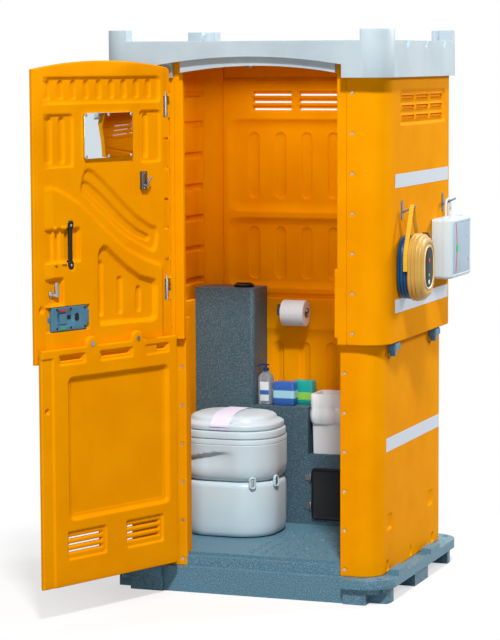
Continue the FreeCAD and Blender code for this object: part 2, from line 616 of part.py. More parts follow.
def upper_walls():
    """Upper side walls with latch notches and pin bores, the right one with its vent, and the louvred back."""
    for side, word in SIDES:
        shell = side_shell(side, UPPER_X, UPPER_Y, UPPER_EDGES[side], UPPER_SEAM, V.upper_corner,
                           UPPER_FOOT, UPPER_HEAD)
        tools = side_vent() if side > 0 else []
        for place in (-V.latch_front, V.latch_rear):
            half = V.latch_wide / 2 + V.slack
            tools.append(box(span(side, UPPER_X - V.wall - 1, UPPER_X + 1), (place - half, place + half),
                             (UPPER_FOOT - 1, UPPER_FOOT + V.latch_notch)))
            tools.append(cylinder("Y", latch_axis(side), V.latch_pin + V.bore_gap,
                                  (place - half - V.latch_pin_reach, place + half + V.latch_pin_reach)))
        for z in screw_heights(UPPER_SCREW_FIRST, UPPER_SCREWS):
            tools.append(screw_bore(upper_screw_x(side), -UPPER_Y, z, V.wall + 1))
        keep(cut(shell, *tools), "upper_wall_" + word)
    back = box((-UPPER_SEAM, UPPER_SEAM), (UPPER_Y - V.wall, UPPER_Y), (UPPER_FOOT, UPPER_HEAD))
    slots = []
    for row in range(3):
        low = LOUVRE_LOW + V.louvre_step * row
        for column in range(3):
            middle = V.pattern_mid + V.louvre_pitch * (column - 1)
            slots.append(box((middle - V.louvre_wide / 2, middle + V.louvre_wide / 2),
                             (UPPER_Y - V.wall - 1, UPPER_Y + 1), (low, low + V.louvre_tall)))
    face = UPPER_Y - V.wall
    pressed = ribbed(ribbed(back, face, TOP_PANEL_LOW, TOP_PANEL_HIGH), face, MID_PANEL_LOW, MID_PANEL_HIGH)
    keep(cut(pressed, *slots), "upper_wall_back")
    keep(group(*[screw(upper_screw_x(side), -UPPER_Y, z)
                 for side, _ in SIDES for z in screw_heights(UPPER_SCREW_FIRST, UPPER_SCREWS)]), "upper_screws")


def jambs():
    """Upper door jambs: a flange flush with the wall's front and a leg behind it that the screws hold."""
    for side, word in SIDES:
        inner = DOOR_RIGHT if side > 0 else DOOR_LEFT
        back = V.wall - UPPER_Y
        pieces = [
            box(span(side, inner, inner + V.flange), (-UPPER_Y, back), (UPPER_FOOT, JAMB_HEAD)),
            box(span(side, inner, inner + V.flange + V.leg_wide), (back, back + V.leg_thick),
                (UPPER_FOOT, JAMB_HEAD)),
        ]
        if side > 0:
            pieces.append(box(span(side, inner - V.strike_wide, inner), (-UPPER_Y, back),
                              (STRIKE_FOOT, STRIKE_HEAD)))
        bores = [cylinder("Y", (upper_screw_x(side), z), V.shaft_radius + V.bore_gap, (back - 1, back + V.leg_thick + 1))
                 for z in screw_heights(UPPER_SCREW_FIRST, UPPER_SCREWS)]
        keep(cut(fuse(*pieces), *bores), "upper_jamb_" + word)


def latch_axis(side):
    """Pin axis of the side latches as X and Z."""
    return (side * (UPPER_X - V.wall / 2), UPPER_FOOT + V.latch_pin_up)


def arch_cut(left, right, end, rise, near, far):
    """Tool under an arch: level at its ends and higher in the middle."""
    half = (right - left) / 2
    middle = (left + right) / 2
    radius = (half * half + rise * rise) / (rise * 2)
    slab = box((left, right), (near, far), (UPPER_FOOT, end + rise + 1))
    disc = cylinder("Y", (middle, end + rise - radius), radius, (near, far))
    return common(slab, disc)


def roof():
    """Roof moulding: skirt, flat top, four raised corners, drip notches and the arched front."""
    half_x = UPPER_X + V.roof_side
    outer = rounded_box((-half_x, half_x), (-ROOF_FRONT, ROOF_REAR), (ROOF_FOOT, ROOF_TOP), V.roof_corner)
    hollow = rounded_box((-UPPER_X - V.kit_gap, UPPER_X + V.kit_gap), (-UPPER_Y - V.kit_gap, UPPER_Y + V.kit_gap),
                         (ROOF_FOOT - 1, UPPER_HEAD), V.upper_corner)
    rim = rounded_box((-half_x, half_x), (-ROOF_FRONT, ROOF_REAR), (ROOF_TOP - 1, ROOF_TOP + V.bump_high),
                      V.roof_corner)
    inner_x, inner_front, inner_rear = half_x - V.bump_thick, ROOF_FRONT - V.bump_thick, ROOF_REAR - V.bump_thick
    tall = (ROOF_TOP, ROOF_TOP + V.bump_high + 1)
    plain = [
        rounded_box((-inner_x, inner_x), (-inner_front, inner_rear), tall, V.roof_corner - V.bump_thick),
        box((V.bump_long - half_x, half_x - V.bump_long), (-ROOF_FRONT - 1, ROOF_REAR + 1), tall),
        box((-half_x - 1, half_x + 1), (V.bump_long - ROOF_FRONT, ROOF_REAR - V.bump_long), tall),
    ]
    left, right = HINGE_X - V.door_edge, HINGE_X + DOOR_WIDE - V.door_edge
    stop = -UPPER_Y - V.door_gap - V.lower_door_thick - V.slack
    tools = [
        arch_cut(left - V.cut_gap, right + V.cut_gap, UPPER_DOOR_END + V.cut_gap * 3, V.arch_rise,
                 -ROOF_FRONT - 1, stop),
        arch_cut(-DOOR_LEFT, DOOR_RIGHT, BAND_END, V.band_rise, stop - 1, -UPPER_Y + 1),
        cylinder("Z", (HINGE_X, HINGE_Y), V.door_edge + V.cut_gap * 1.5, (ROOF_FOOT - 1, UPPER_DOOR_END + V.cut_gap * 3)),
    ]
    for side, _ in SIDES:
        inner = DOOR_RIGHT if side > 0 else DOOR_LEFT
        tools.append(box(span(side, inner, inner + V.flange + V.kit_gap), (stop - 1, 1 - UPPER_Y),
                         (ROOF_FOOT - 1, JAMB_HEAD + V.kit_gap)))
        for step in (-1, 0, 1):
            wedge = box((0, V.roof_side * 2), (0, V.notch_side), (0, V.notch_side))
            wedge.Placement.Rotation = FreeCAD.Rotation(X_AXIS, 45)
            low = ROOF_TOP - V.notch_side * math.sqrt(0.5)
            place = side * (half_x - V.roof_side / 2) if side > 0 else -half_x - V.roof_side * 1.5
            set_place(wedge, place, V.notch_pitch * step, low)
            tools.append(wedge)
    keep(cut(cut(fuse(outer, rim), hollow, *plain), *tools), "roof")


def upper_door():
    """Upper door half with an arched head, hinge notches, pin bores and the pockets for its fittings."""
    near, far = -V.upper_door_out, V.upper_door_thick - V.upper_door_out
    left, right = -V.door_edge, DOOR_WIDE - V.door_edge
    middle, half = (left + right) / 2, DOOR_WIDE / 2
    radius = (half * half + V.arch_rise * V.arch_rise) / (V.arch_rise * 2)
    head = UPPER_DOOR_END + V.arch_rise
    slab = box((left, right), (near, far), (UPPER_DOOR_FOOT, head))
    leaf = common(slab, cylinder("Y", (middle, head - radius), radius, (near - 1, far + 1)))
    sunk = (far - V.door_sink, far + 1)
    deep = (far - V.pocket_deep, far + 1)
    tools = [
        box((V.mirror_left, V.mirror_left + V.mirror_wide), (far - V.mirror_thick, far + 1),
            (MIRROR_LOW, MIRROR_LOW + V.mirror_tall)),
        box((GRAB_LEFT, GRAB_LEFT + V.grab_wide), deep,
            (GRAB_LOW + V.grab_step, GRAB_LOW + V.grab_tall - V.grab_step)),
        box((GRAB_X - V.grab_half, GRAB_X + V.grab_half), deep, (GRAB_LOW, GRAB_LOW + V.grab_tall)),
        box((LEVER_LEFT, LEVER_LEFT + V.lever_wide), deep, (LEVER_LOW, LEVER_LOW + V.lever_tall)),
        box((LOCK_LEFT - V.lock_fit, LOCK_LEFT + V.lock_wide + V.lock_fit), deep,
            (LOCK_LOW - V.lock_fit, LOCK_LOW + V.lock_tall + V.lock_fit)),
        box((LOCK_LEFT + V.lock_wide, right + 1), tongue_depth(V.lock_fit), tongue_height(V.lock_fit)),
    ]
    pitch = (DOOR_FREE - V.rib_in - V.rib_first) / (SIZES["door_ribs"] - 1)
    for index in range(SIZES["door_ribs"]):
        place = V.rib_first + pitch * index
        tools.append(rounded_box((place - V.door_rib_wide / 2, place + V.door_rib_wide / 2), sunk,
                                 (DOOR_RIB_LOW, DOOR_RIB_LOW + V.door_rib_tall), V.door_rib_wide / 2.1, Y_AXIS))
    for low in (HINGE_LOW, HINGE_HIGH):
        tools.append(box((left - 1, V.hinge_notch), (near - 1, far + 1), (low - V.slack, low + V.hinge_tall + V.slack)))
        tools.append(cylinder("Z", (0, 0), V.pin_radius + V.bore_gap,
                              (low - V.pin_reach - V.slack, low + V.hinge_tall + V.pin_reach + V.slack)))
    hang(cut(leaf, *tools), "upper_door")


def inner_face():
    """Depth of the upper door's inner face from the hinge line."""
    return V.upper_door_thick - V.upper_door_out


def pocket_floor():
    """Depth of the floor of the upper door's deep pockets."""
    return inner_face() - V.pocket_deep


def tongue_depth(gap):
    """Limits of the lock tongue across the door, grown by a gap."""
    low = pocket_floor() + V.plate_thick
    return (low - gap, low + V.tongue_thick + gap)


def tongue_height(gap):
    """Limits of the lock tongue in height, grown by a gap."""
    middle = LOCK_LOW + V.lock_tall / 2
    return (middle - V.tongue_tall / 2 - gap, middle + V.tongue_tall / 2 + gap)


def door_fittings():
    """Mirror, screws, coat hook, grab bar, lever and lock on the inner face of the upper door."""
    far, floor = inner_face(), pocket_floor()
    right = DOOR_WIDE - V.door_edge
    mirror_right, mirror_head = V.mirror_left + V.mirror_wide, MIRROR_LOW + V.mirror_tall
    hang(rounded_box((V.mirror_left + V.lock_fit, mirror_right - V.lock_fit), (far - V.mirror_thick, far - V.lock_fit),
                     (MIRROR_LOW + V.lock_fit, mirror_head - V.lock_fit), V.small_head / 2, Y_AXIS), "door_mirror")
    heads = []
    face = (far - V.lock_fit, far + V.lock_fit * 2)
    for column in range(3):
        for z in (MIRROR_LOW + V.small_head * 2, mirror_head - V.small_head * 2):
            x = V.mirror_left + V.small_head * 2 + (V.mirror_wide - V.small_head * 4) / 2 * column
            heads.append(cylinder("Y", (x, z), V.small_head, face))
    for column in range(3):
        for z in (LOCK_LOW + V.small_head * 2, LOCK_LOW + V.lock_tall - V.small_head * 2):
            x = LOCK_LEFT + V.small_head * 2 + (V.lock_wide - V.small_head * 4) / 2 * column
            heads.append(cylinder("Y", (x, z), V.small_head, face))
    hang(group(*heads), "door_screws")
    plate = rounded_box((V.coat_left, V.coat_left + V.coat_wide), (far, far + V.peg_plate),
                        (COAT_LOW, COAT_LOW + V.coat_tall), V.small_head, Y_AXIS)
    middle = V.coat_left + V.coat_wide / 2
    prong = box((middle - V.small_head, middle + V.small_head), (far, far + V.coat_out),
                (COAT_LOW + V.small_head, COAT_LOW + V.small_head * 3))
    tip = box((middle - V.small_head, middle + V.small_head),
              (far + V.coat_out - V.small_head, far + V.coat_out),
              (COAT_LOW + V.small_head, COAT_LOW + V.small_head * 7))
    hang(fuse(plate, prong, tip), "coat_hook")
    low = GRAB_LOW + (V.grab_tall - V.grab_long) / 2
    depth = floor + V.pocket_deep - V.grab_radius - V.slack
    bar = cylinder("Z", (GRAB_X, depth), V.grab_radius, (low, low + V.grab_long))
    feet = [box((GRAB_X - V.grab_radius, GRAB_X + V.grab_radius), (floor, depth), (z, z + V.grab_radius * 2))
            for z in (low, low + V.grab_long - V.grab_radius * 2)]
    hang(fuse(bar, *feet), "pull_handle")
    lozenge = box((LEVER_X - V.plate_half, LEVER_X + V.plate_half), (floor, floor + V.plate_thick),
                  (LEVER_Z - V.plate_rise, LEVER_Z + V.plate_rise))
    hang(cut(lozenge, cylinder("Y", (LEVER_X, LEVER_Z), V.spindle + V.bore_gap, (floor - 1, floor + V.plate_thick + 1))),
         "lever_plate")
    boss = cylinder("Y", (LEVER_X, LEVER_Z), V.spindle, (floor, far - V.slack))
    arm = box((LEVER_X - V.lever_long, LEVER_X), (far - V.spindle, far - V.slack),
              (LEVER_Z - V.spindle * 0.75, LEVER_Z + V.spindle * 0.75))
    grip = box((LEVER_X - V.lever_long, LEVER_X - V.lever_long + V.lever_grip), (far - V.spindle, far - V.slack),
               (LEVER_Z, LEVER_Z + V.lever_rise))
    hang(fuse(boss, arm, grip), "latch_lever")
    lock_right, lock_head = LOCK_LEFT + V.lock_wide, LOCK_LOW + V.lock_tall
    case = box((LOCK_LEFT, lock_right), (floor, far - V.lock_fit), (LOCK_LOW, lock_head))
    middle = (LOCK_LOW + lock_head) / 2
    thumb_low, thumb_high = middle - V.thumb_tall / 2, middle + V.thumb_tall / 2
    seat = tongue_depth(0)[1] + V.lock_fit
    track = box((THUMB_X - V.lock_fit, THUMB_X + V.thumb_wide + V.thumb_room), (seat, far + 1),
                (thumb_low - V.lock_fit, thumb_high + V.lock_fit))
    slot = box((THUMB_X - V.lock_fit, lock_right + 1), tongue_depth(V.lock_fit), tongue_height(V.lock_fit))
    hang(cut(case, track, slot), "lock_housing")
    thumb = box((THUMB_X, THUMB_X + V.thumb_wide), (seat + V.lock_fit, far - V.slack), (thumb_low, thumb_high))
    neck = box((THUMB_X + V.lock_fit, THUMB_X + V.tongue_tall), (tongue_depth(0)[0], seat + 1),
               tongue_height(0))
    bolt = box((THUMB_X + V.lock_fit, right - V.slack), tongue_depth(0), tongue_height(0))
    hang(fuse(thumb, neck, bolt), "lock_slider")


def lower_door():
    """Lower door half that the upper half slides past: hinge lugs, ears at its head, sunk field and vents."""
    near = inner_face() + V.door_gap
    far = near + V.lower_door_thick
    left, right = -V.door_edge, DOOR_WIDE - V.door_edge
    body = new_body("LowerLeaf")
    pad(body, [(left, near), (right, near), (right, far), (left + V.edge_cut, far), (left, far - V.edge_cut)],
        LOWER_DOOR_FOOT, LOWER_DOOR_HEAD)
    lugs = []
    bores = []
    wide, proud = V.hinge_notch - V.arm_half / 2, V.pin_radius * 2
    for low in (PIVOT_LOW, PIVOT_HIGH):
        head = low + V.pivot_tall
        for z in ((low - V.slack / 2 - V.pin_reach, low - V.slack / 2),
                  (head + V.slack / 2, head + V.slack / 2 + V.pin_reach)):
            lugs.append(box((-wide, wide), (-proud, near + 1), z))
        bores.append(cylinder("Z", (0, 0), V.pin_radius + V.bore_gap, (low - V.pin_reach - 2, head + V.pin_reach + 2)))
    ears = [cylinder("Y", (x, LOWER_DOOR_HEAD + V.ear_up), V.ear_radius, (near, far))
            for x in (V.ear_near, EAR_FAR)]
    tools = bores + [
        box((V.relief_at, V.relief_at + V.relief_wide), (near - 1, near + V.relief_deep),
            (LOWER_DOOR_HEAD - V.relief_tall, LOWER_DOOR_HEAD + V.ear_radius * 2)),
        box((V.low_field_left, LOW_FIELD_RIGHT), (far - V.door_sink, far + 1), (LOW_FIELD_LOW, LOW_FIELD_HIGH)),
    ]
    for start in (V.low_vent_near, LOW_VENT_FAR):
        for row in range(SIZES["low_vent_rows"]):
            low = LOW_VENT_LOW + V.low_vent_pitch * row
            tools.append(box((start, start + V.low_vent_wide), (near - 1, far + 1), (low, low + V.low_vent_tall)))
    for x in (V.ear_near, EAR_FAR):
        tools.append(cylinder("Y", (x, LOWER_DOOR_HEAD + V.ear_up), V.ear_bolt / 2 + V.bore_gap, (near - 1, far + 1)))
    hang(cut(fuse(body, *lugs, *ears), *tools), "lower_door")
    bolts = [fuse(cylinder("Y", (x, LOWER_DOOR_HEAD + V.ear_up), V.ear_bolt / 2, (near, far)),
                  cylinder("Y", (x, LOWER_DOOR_HEAD + V.ear_up), V.ear_bolt, (far, far + V.plate_thick)))
             for x in (V.ear_near, EAR_FAR)]
    hang(group(*bolts), "ear_bolts")


def hinge_iron(face, low, tall):
    """Steel hinge: plate on the wall, post past the door's edge, arm to the hinge line and its pin."""
    z = (low, low + tall)
    post = (HINGE_X - V.arm_clear - V.arm_post, HINGE_X - V.arm_clear)
    return fuse(
        box((post[0] - V.arm_clear, post[1]), (face - V.peg_plate, face), z),
        box(post, (HINGE_Y - V.arm_half, face), z),
        box((post[0], HINGE_X), (HINGE_Y - V.arm_half, HINGE_Y + V.arm_half), z),
        cylinder("Z", (HINGE_X, HINGE_Y), V.arm_half + V.slack, z),
        cylinder("Z", (HINGE_X, HINGE_Y), V.pin_radius, (low - V.pin_reach, low + tall + V.pin_reach)),
    )


def hinges():
    """Hinge irons of both door halves."""
    keep(group(*[hinge_iron(-UPPER_Y, low, V.hinge_tall) for low in (HINGE_LOW, HINGE_HIGH)]),
         "upper_door_hinges")
    keep(group(*[hinge_iron(-LOWER_Y, low, V.pivot_tall) for low in (PIVOT_LOW, PIVOT_HIGH)]),
         "lower_door_hinges")


def side_latches():
    """Four swinging feet that hold up the raised section, and their pins."""
    pins = []
    for side, word in SIDES:
        x, z = latch_axis(side)
        for place, end in ((-V.latch_front, "front"), (V.latch_rear, "rear")):
            run = (place - V.latch_wide / 2, place + V.latch_wide / 2)
            head = UPPER_FOOT - V.slack
            block = box(span(side, LOWER_X + V.strip_thick + V.latch_gap, UPPER_X - V.slack), run, (head - V.latch_tall, head))
            bow = cylinder("Y", (side * (UPPER_X + V.latch_bow - V.arm_half), head - V.latch_tall / 2), V.latch_bow,
                           (run[0] - 1, run[1] + 1))
            knuckle = cylinder("Y", (x, z), V.wall / 2 - V.slack, run)
            neck = box(span(side, UPPER_X - V.wall + V.slack, UPPER_X - V.slack), run, (head - V.slack, z))
            bore = cylinder("Y", (x, z), V.latch_pin + V.bore_gap, (run[0] - 1, run[1] + 1))
            keep(cut(fuse(cut(block, bow), knuckle, neck), bore), "latch_%s_%s" % (end, word))
            reach = V.slack + V.latch_pin_reach
            pins.append(cylinder("Y", (x, z), V.latch_pin, (run[0] - reach, run[1] + reach)))
    keep(group(*pins), "latch_pins")


def strips():
    """Reflective strips stuck on the side walls."""
    def strip(side, half_x, low):
        return box(span(side, half_x, half_x + V.strip_thick), (V.strip_front, V.strip_rear),
                   (low, low + V.strip_tall))
    keep(group(*[strip(side, UPPER_X, low) for side, _ in SIDES for low in (STRIP_TOP, STRIP_MID)]),
         "upper_strips")
    keep(group(*[strip(side, LOWER_X, V.strip_low) for side, _ in SIDES]), "lower_strips")


def room_inside(low, high):
    """Space between the lower walls, less a small clearance."""
    half_x, half_y = LOWER_X - V.wall - V.console_clear, INNER_Y - V.console_clear
    return rounded_box((-half_x, half_x), (-half_y, half_y), (low, high), V.lower_corner - V.wall)


def console():
    """Moulded console behind the toilet with a high and a low shelf, its hatch and the hatch hinges."""
    high = box((-LOWER_X, SHELF_EDGE), (CONSOLE_FRONT, LOWER_Y), (FLOOR_TOP, SHELF_HIGH))
    low = box((SHELF_EDGE, LOWER_X), (CONSOLE_FRONT, LOWER_Y), (FLOOR_TOP, SHELF_LOW))
    keep(common(fuse(high, low), room_inside(FLOOR_TOP, SHELF_HIGH)), "console")
    axis = (HATCH_LEFT - V.arm_half, CONSOLE_FRONT - V.hatch_thick / 2 - V.slack)
    plate = (CONSOLE_FRONT - V.hatch_thick - V.slack / 2, CONSOLE_FRONT - V.slack / 2)
    door = [box((HATCH_LEFT, HATCH_LEFT + V.hatch_wide), plate, (HATCH_LOW, HATCH_LOW + V.hatch_tall))]
    irons = []
    bores = []
    for share in (0.2, 0.75):
        base = HATCH_LOW + V.hatch_tall * share
        tall = V.arm_half * 4
        knuckle = V.hatch_pin + 1.5
        irons.append(fuse(
            cylinder("Z", axis, knuckle, (base, base + tall)),
            cylinder("Z", axis, V.hatch_pin, (base - V.arm_half, base + tall + V.arm_half)),
            box((axis[0] - V.arm_half * 4, axis[0]), (CONSOLE_FRONT - V.plate_thick, CONSOLE_FRONT),
                (base, base + tall)),
        ))
        for z in ((base - V.arm_half * 2, base - V.slack / 2), (base + tall + V.slack / 2, base + tall + V.arm_half * 2)):
            door.append(cylinder("Z", axis, knuckle, z))
            door.append(box((axis[0], HATCH_LEFT + 1), (axis[1] - knuckle / 2, axis[1] + knuckle / 2), z))
        bores.append(cylinder("Z", axis, V.hatch_pin + V.bore_gap, (base - V.arm_half * 3, base + tall + V.arm_half * 3)))
    keep(cut(fuse(*door), *bores), "access_door")
    keep(group(*irons), "access_hinges")


def flush_tank():
    """Fresh water tank on the console and its filler cap."""
    tank = common(rounded_box((-LOWER_X, TANK_RIGHT), (TANK_FRONT, LOWER_Y), (SHELF_HIGH, TANK_HIGH),
                              V.tank_round), room_inside(SHELF_HIGH, TANK_HIGH))
    x, y = TANK_RIGHT - V.cap_radius * 2, (TANK_FRONT + INNER_Y) / 2
    neck = cylinder("Z", (x, y), V.cap_radius, (TANK_HIGH - 1, TANK_HIGH + V.cap_neck / 2))
    keep(fuse(tank, neck), "flush_tank")
    gap = V.slide_gap
    cap = cylinder("Z", (x, y), V.cap_radius + V.arm_half, (TANK_HIGH + gap, TANK_HIGH + V.cap_tall))
    hollow = cylinder("Z", (x, y), V.cap_radius + gap, (TANK_HIGH, TANK_HIGH + V.cap_neck / 2 + gap))
    keep(cut(cap, hollow), "tank_cap")


def toilet_plan(low, high, inset, rear=None):
    """Rounded plan of the toilet between two heights, drawn in by an inset."""
    half_x, half_y = V.toilet_wide / 2 - inset, V.toilet_deep / 2 - inset
    back = TOILET_Y + half_y if rear is None else rear
    return rounded_box((TOILET_X - half_x, TOILET_X + half_x), (TOILET_Y - half_y, back), (low, high),
                       V.toilet_round - inset)


def domed_lid(grow):
    """Lid solid that is thin at its rim and high in the middle, its crown grown by a small amount."""
    low = FLOOR_TOP + V.waste_tall + V.bowl_tall + V.seat_tall + V.slack
    slab = toilet_plan(low, low + V.lid_tall + grow, V.slack, SEAT_BACK)
    crown = low + V.lid_tall + grow
    drop = V.lid_tall - V.lid_edge
    shapes = slab
    for axis, half, middle in (("X", V.toilet_deep / 2, TOILET_Y), ("Y", V.toilet_wide / 2, TOILET_X)):
        radius = (half * half + drop * drop) / (drop * 2)
        shapes = common(shapes, cylinder(axis, (middle, crown - radius), radius, (-BASE_X, BASE_X)))
    return shapes


def toilet():
    """Portable toilet: waste tank, bowl unit, seat, domed lid, paper band and the two clips."""
    waste_top = FLOOR_TOP + V.waste_tall
    bowl_top = waste_top + V.bowl_tall
    keep(toilet_plan(FLOOR_TOP, waste_top, V.slack * 4), "waste_tank")
    bowl = toilet_plan(waste_top + V.join_gap, bowl_top, 0)
    basin = DOC.addObject("Part::Cone", "Basin")
    bind(basin, "Radius1", V.bowl_low)
    bind(basin, "Radius2", V.bowl_open)
    bind(basin, "Height", V.bowl_deep + 1)
    set_place(basin, TOILET_X, TOILET_Y - V.slack * 16, bowl_top - V.bowl_deep)
    seat_low, seat_top = bowl_top + V.join_gap, bowl_top + V.seat_tall
    axis = (SEAT_AXIS, seat_top)
    ears = []
    for side in (1, -1):
        start = V.ear_inner + V.ear_wide * 2 + V.slack * 2
        ears.append(box(span_about(side, start, start + V.ear_wide), (SEAT_AXIS - V.seat_ear, SEAT_AXIS + V.seat_ear),
                        (bowl_top - 1, seat_top)))
        ears.append(cylinder("X", axis, V.seat_ear, span_about(side, start, start + V.ear_wide)))
        ears.append(cylinder("X", axis, V.seat_pin, span_about(side, V.ear_inner, start + 1)))
    keep(cut(fuse(bowl, *ears), basin), "bowl_unit")
    hole = cylinder("Z", (TOILET_X, TOILET_Y - V.slack * 16), V.bowl_open - V.slack * 5, (seat_low - 1, seat_top + 1))
    keep(hinged(cut(toilet_plan(seat_low, seat_top, V.slack, SEAT_BACK), hole), axis,
                V.ear_inner + V.ear_wide + V.slack, seat_low, seat_top), "toilet_seat")
    lid_low = seat_top + V.slack
    keep(hinged(domed_lid(0), axis, V.ear_inner, lid_low, lid_low + V.lid_edge / 2), "toilet_lid")
    strip = box((TOILET_X - V.band_wide / 2, TOILET_X + V.band_wide / 2), (-BASE_Y, BASE_Y),
                (lid_low + V.lid_edge, lid_low + V.lid_tall * 2))
    keep(cut(common(domed_lid(V.band_thick + V.lock_fit), strip), domed_lid(V.lock_fit)), "paper_band")
    centre = (TOILET_X + V.toilet_wide / 2 - V.toilet_round, TOILET_Y - V.toilet_deep / 2 + V.toilet_round)
    for alias, name in (("clip_front", "clip_front"), ("clip_side", "clip_side")):
        angle = SIZES[alias]
        run = (-V.clip_wide / 2, V.clip_wide / 2)
        round_off = V.clip_thick / 2
        clip = fuse(box((0, V.clip_thick), run, (round_off, V.clip_tall - round_off)),
                    cylinder("Y", (round_off, round_off), round_off, run),
                    cylinder("Y", (round_off, V.clip_tall - round_off), round_off, run))
        reach = V.toilet_round + V.kit_gap
        clip.Placement.Rotation = FreeCAD.Rotation(Z_AXIS, angle)
        set_place(clip, centre[0] + reach * math.cos(math.radians(angle)),
                  centre[1] + reach * math.sin(math.radians(angle)), waste_top - V.clip_tall / 2)
        keep(clip, name)


def span_about(side, near, far):
    """Limits along X on one side of the toilet's middle."""
    low, high = span(side, near, far)
    return (TOILET_X + low, TOILET_X + high)


def hinged(plate, axis, start, low, high):
    """Adds two hinge arms with pin bores to the rear of the seat or the lid."""
    arms = []
    bores = []
    for side in (1, -1):
        run = span_about(side, start, start + V.ear_wide)
        arms.append(cylinder("X", axis, V.seat_ear - V.slack, run))
        arms.append(box(run, (SEAT_BACK - V.seat_ear, SEAT_AXIS), (low, high)))
        bores.append(cylinder("X", axis, V.seat_pin + V.bore_gap, (run[0] - 1, run[1] + 1)))
    return cut(fuse(plate, *arms), *bores)


def roll_and_holder():
    """Toilet roll on its peg."""
    y = INNER_Y - V.roll_wall
    rod_z = ROLL_Z + V.core_radius - V.rod_radius - V.slide_gap
    bracket_right = ROLL_LEFT - V.slack * 4
    bracket = box((bracket_right - V.boss_wide, bracket_right), (y, INNER_Y), (rod_z - V.rod_radius, rod_z + V.rod_radius))
    boss = cylinder("X", (y, rod_z), V.boss_radius, (bracket_right - V.boss_wide, bracket_right))
    rod = cylinder("X", (y, rod_z), V.rod_radius, (bracket_right - 1, ROLL_LEFT + V.roll_long + V.slack * 8))
    keep(fuse(bracket, boss, rod), "roll_holder")
    roll = cylinder("X", (y, ROLL_Z), V.roll_radius, (ROLL_LEFT, ROLL_LEFT + V.roll_long))
    core = cylinder("X", (y, ROLL_Z), V.core_radius, (ROLL_LEFT - 1, ROLL_LEFT + V.roll_long + 1))
    keep(cut(roll, core), "toilet_roll")


def shelf_goods():
    """Sanitiser bottle with its pump, two packets of wipes, and the bin with its liner."""
    low = SHELF_HIGH + V.lock_fit
    neck = V.bottle_radius / 3
    head = low + V.bottle_tall + neck * 3
    bottle = revolved("Bottle", [(0, 0), (V.bottle_radius, 0), (V.bottle_radius, V.bottle_tall),
                                 (neck, V.bottle_tall + neck * 2), (neck, V.bottle_tall + neck * 3),
                                 (0, V.bottle_tall + neck * 3)], BOTTLE_X, BOTTLE_Y, low)
    bore = cylinder("Z", (BOTTLE_X, BOTTLE_Y), neck / 2 + V.bore_gap, (head - V.pump_stroke * 2.4, head + 1))
    keep(cut(bottle, bore), "sanitiser_bottle")
    top = head + V.pump_stroke + V.lock_fit
    stem = cylinder("Z", (BOTTLE_X, BOTTLE_Y), neck / 2, (head - V.pump_stroke, top + 1))
    stub = fuse(cylinder("Z", (BOTTLE_X, BOTTLE_Y), neck, (top, top + neck)),
                box((BOTTLE_X - V.bottle_radius, BOTTLE_X), (BOTTLE_Y - neck / 2, BOTTLE_Y + neck / 2),
                    (top, top + neck * 0.8)))
    keep(fuse(stem, stub), "sanitiser_pump")
    for x, y, name in ((BLUE_X, BLUE_Y, "wipes_box"), (TEAL_X, TEAL_Y, "wipes_tub")):
        deep = V.pack_deep / 2
        keep(box((x - V.pack_wide / 2, x + V.pack_wide / 2), (y - deep, y + deep), (low, low + V.pack_tall)), name)
    front, rear = BIN_Y - V.bin_deep / 2, BIN_Y + V.bin_deep / 2
    floor = SHELF_LOW + V.lock_fit

    def shell(out, low_z, high_z):
        return rounded_box((BIN_LEFT - out, BIN_LEFT + V.bin_wide + out), (front - out, rear + out),
                           (low_z, high_z), V.bin_round + out)
    head = floor + V.bin_tall
    keep(cut(shell(Size.of(0), floor, head), shell(-V.bin_wall, floor + V.bin_wall, head + 1)), "waste_bin")
    sheet = V.slack * 1.5
    cuff_low = head - V.bin_tall * 0.28
    cuff = cut(shell(V.lock_fit + sheet, cuff_low, head + V.lock_fit + sheet),
               shell(V.lock_fit, cuff_low - 1, head + V.lock_fit))
    inside = shell(-V.bin_wall - V.lock_fit, floor + V.bin_wall + V.lock_fit, head + V.lock_fit + sheet)
    room = shell(-V.bin_wall - V.lock_fit - sheet, floor + V.bin_wall + V.lock_fit + sheet, head + V.bin_wall)
    keep(cut(fuse(cuff, inside), room), "bin_liner")


def kit_hook(y):
    """Steel wall plate with a peg that rises outward."""
    plate = rounded_box((UPPER_X, UPPER_X + V.hook_plate), (y - V.hook_wide / 2, y + V.hook_wide / 2),
                        (HOOK_LOW, HOOK_LOW + V.hook_tall), V.hook_wide / 3, X_AXIS)
    peg = cylinder("X", (y, HOOK_LOW + V.peg_up), V.peg_radius, (UPPER_X, UPPER_X + V.peg_long))
    peg.Placement.Rotation = FreeCAD.Rotation(Y_AXIS, 90 - SIZES["peg_rise"])
    bind(peg, "Placement.Rotation.Angle", 90 - V.peg_rise)
    spare = box((UPPER_X - V.wall, UPPER_X), (y - V.hook_wide, y + V.hook_wide), (HOOK_LOW, HOOK_LOW + V.hook_tall))
    return cut(fuse(plate, peg), spare)


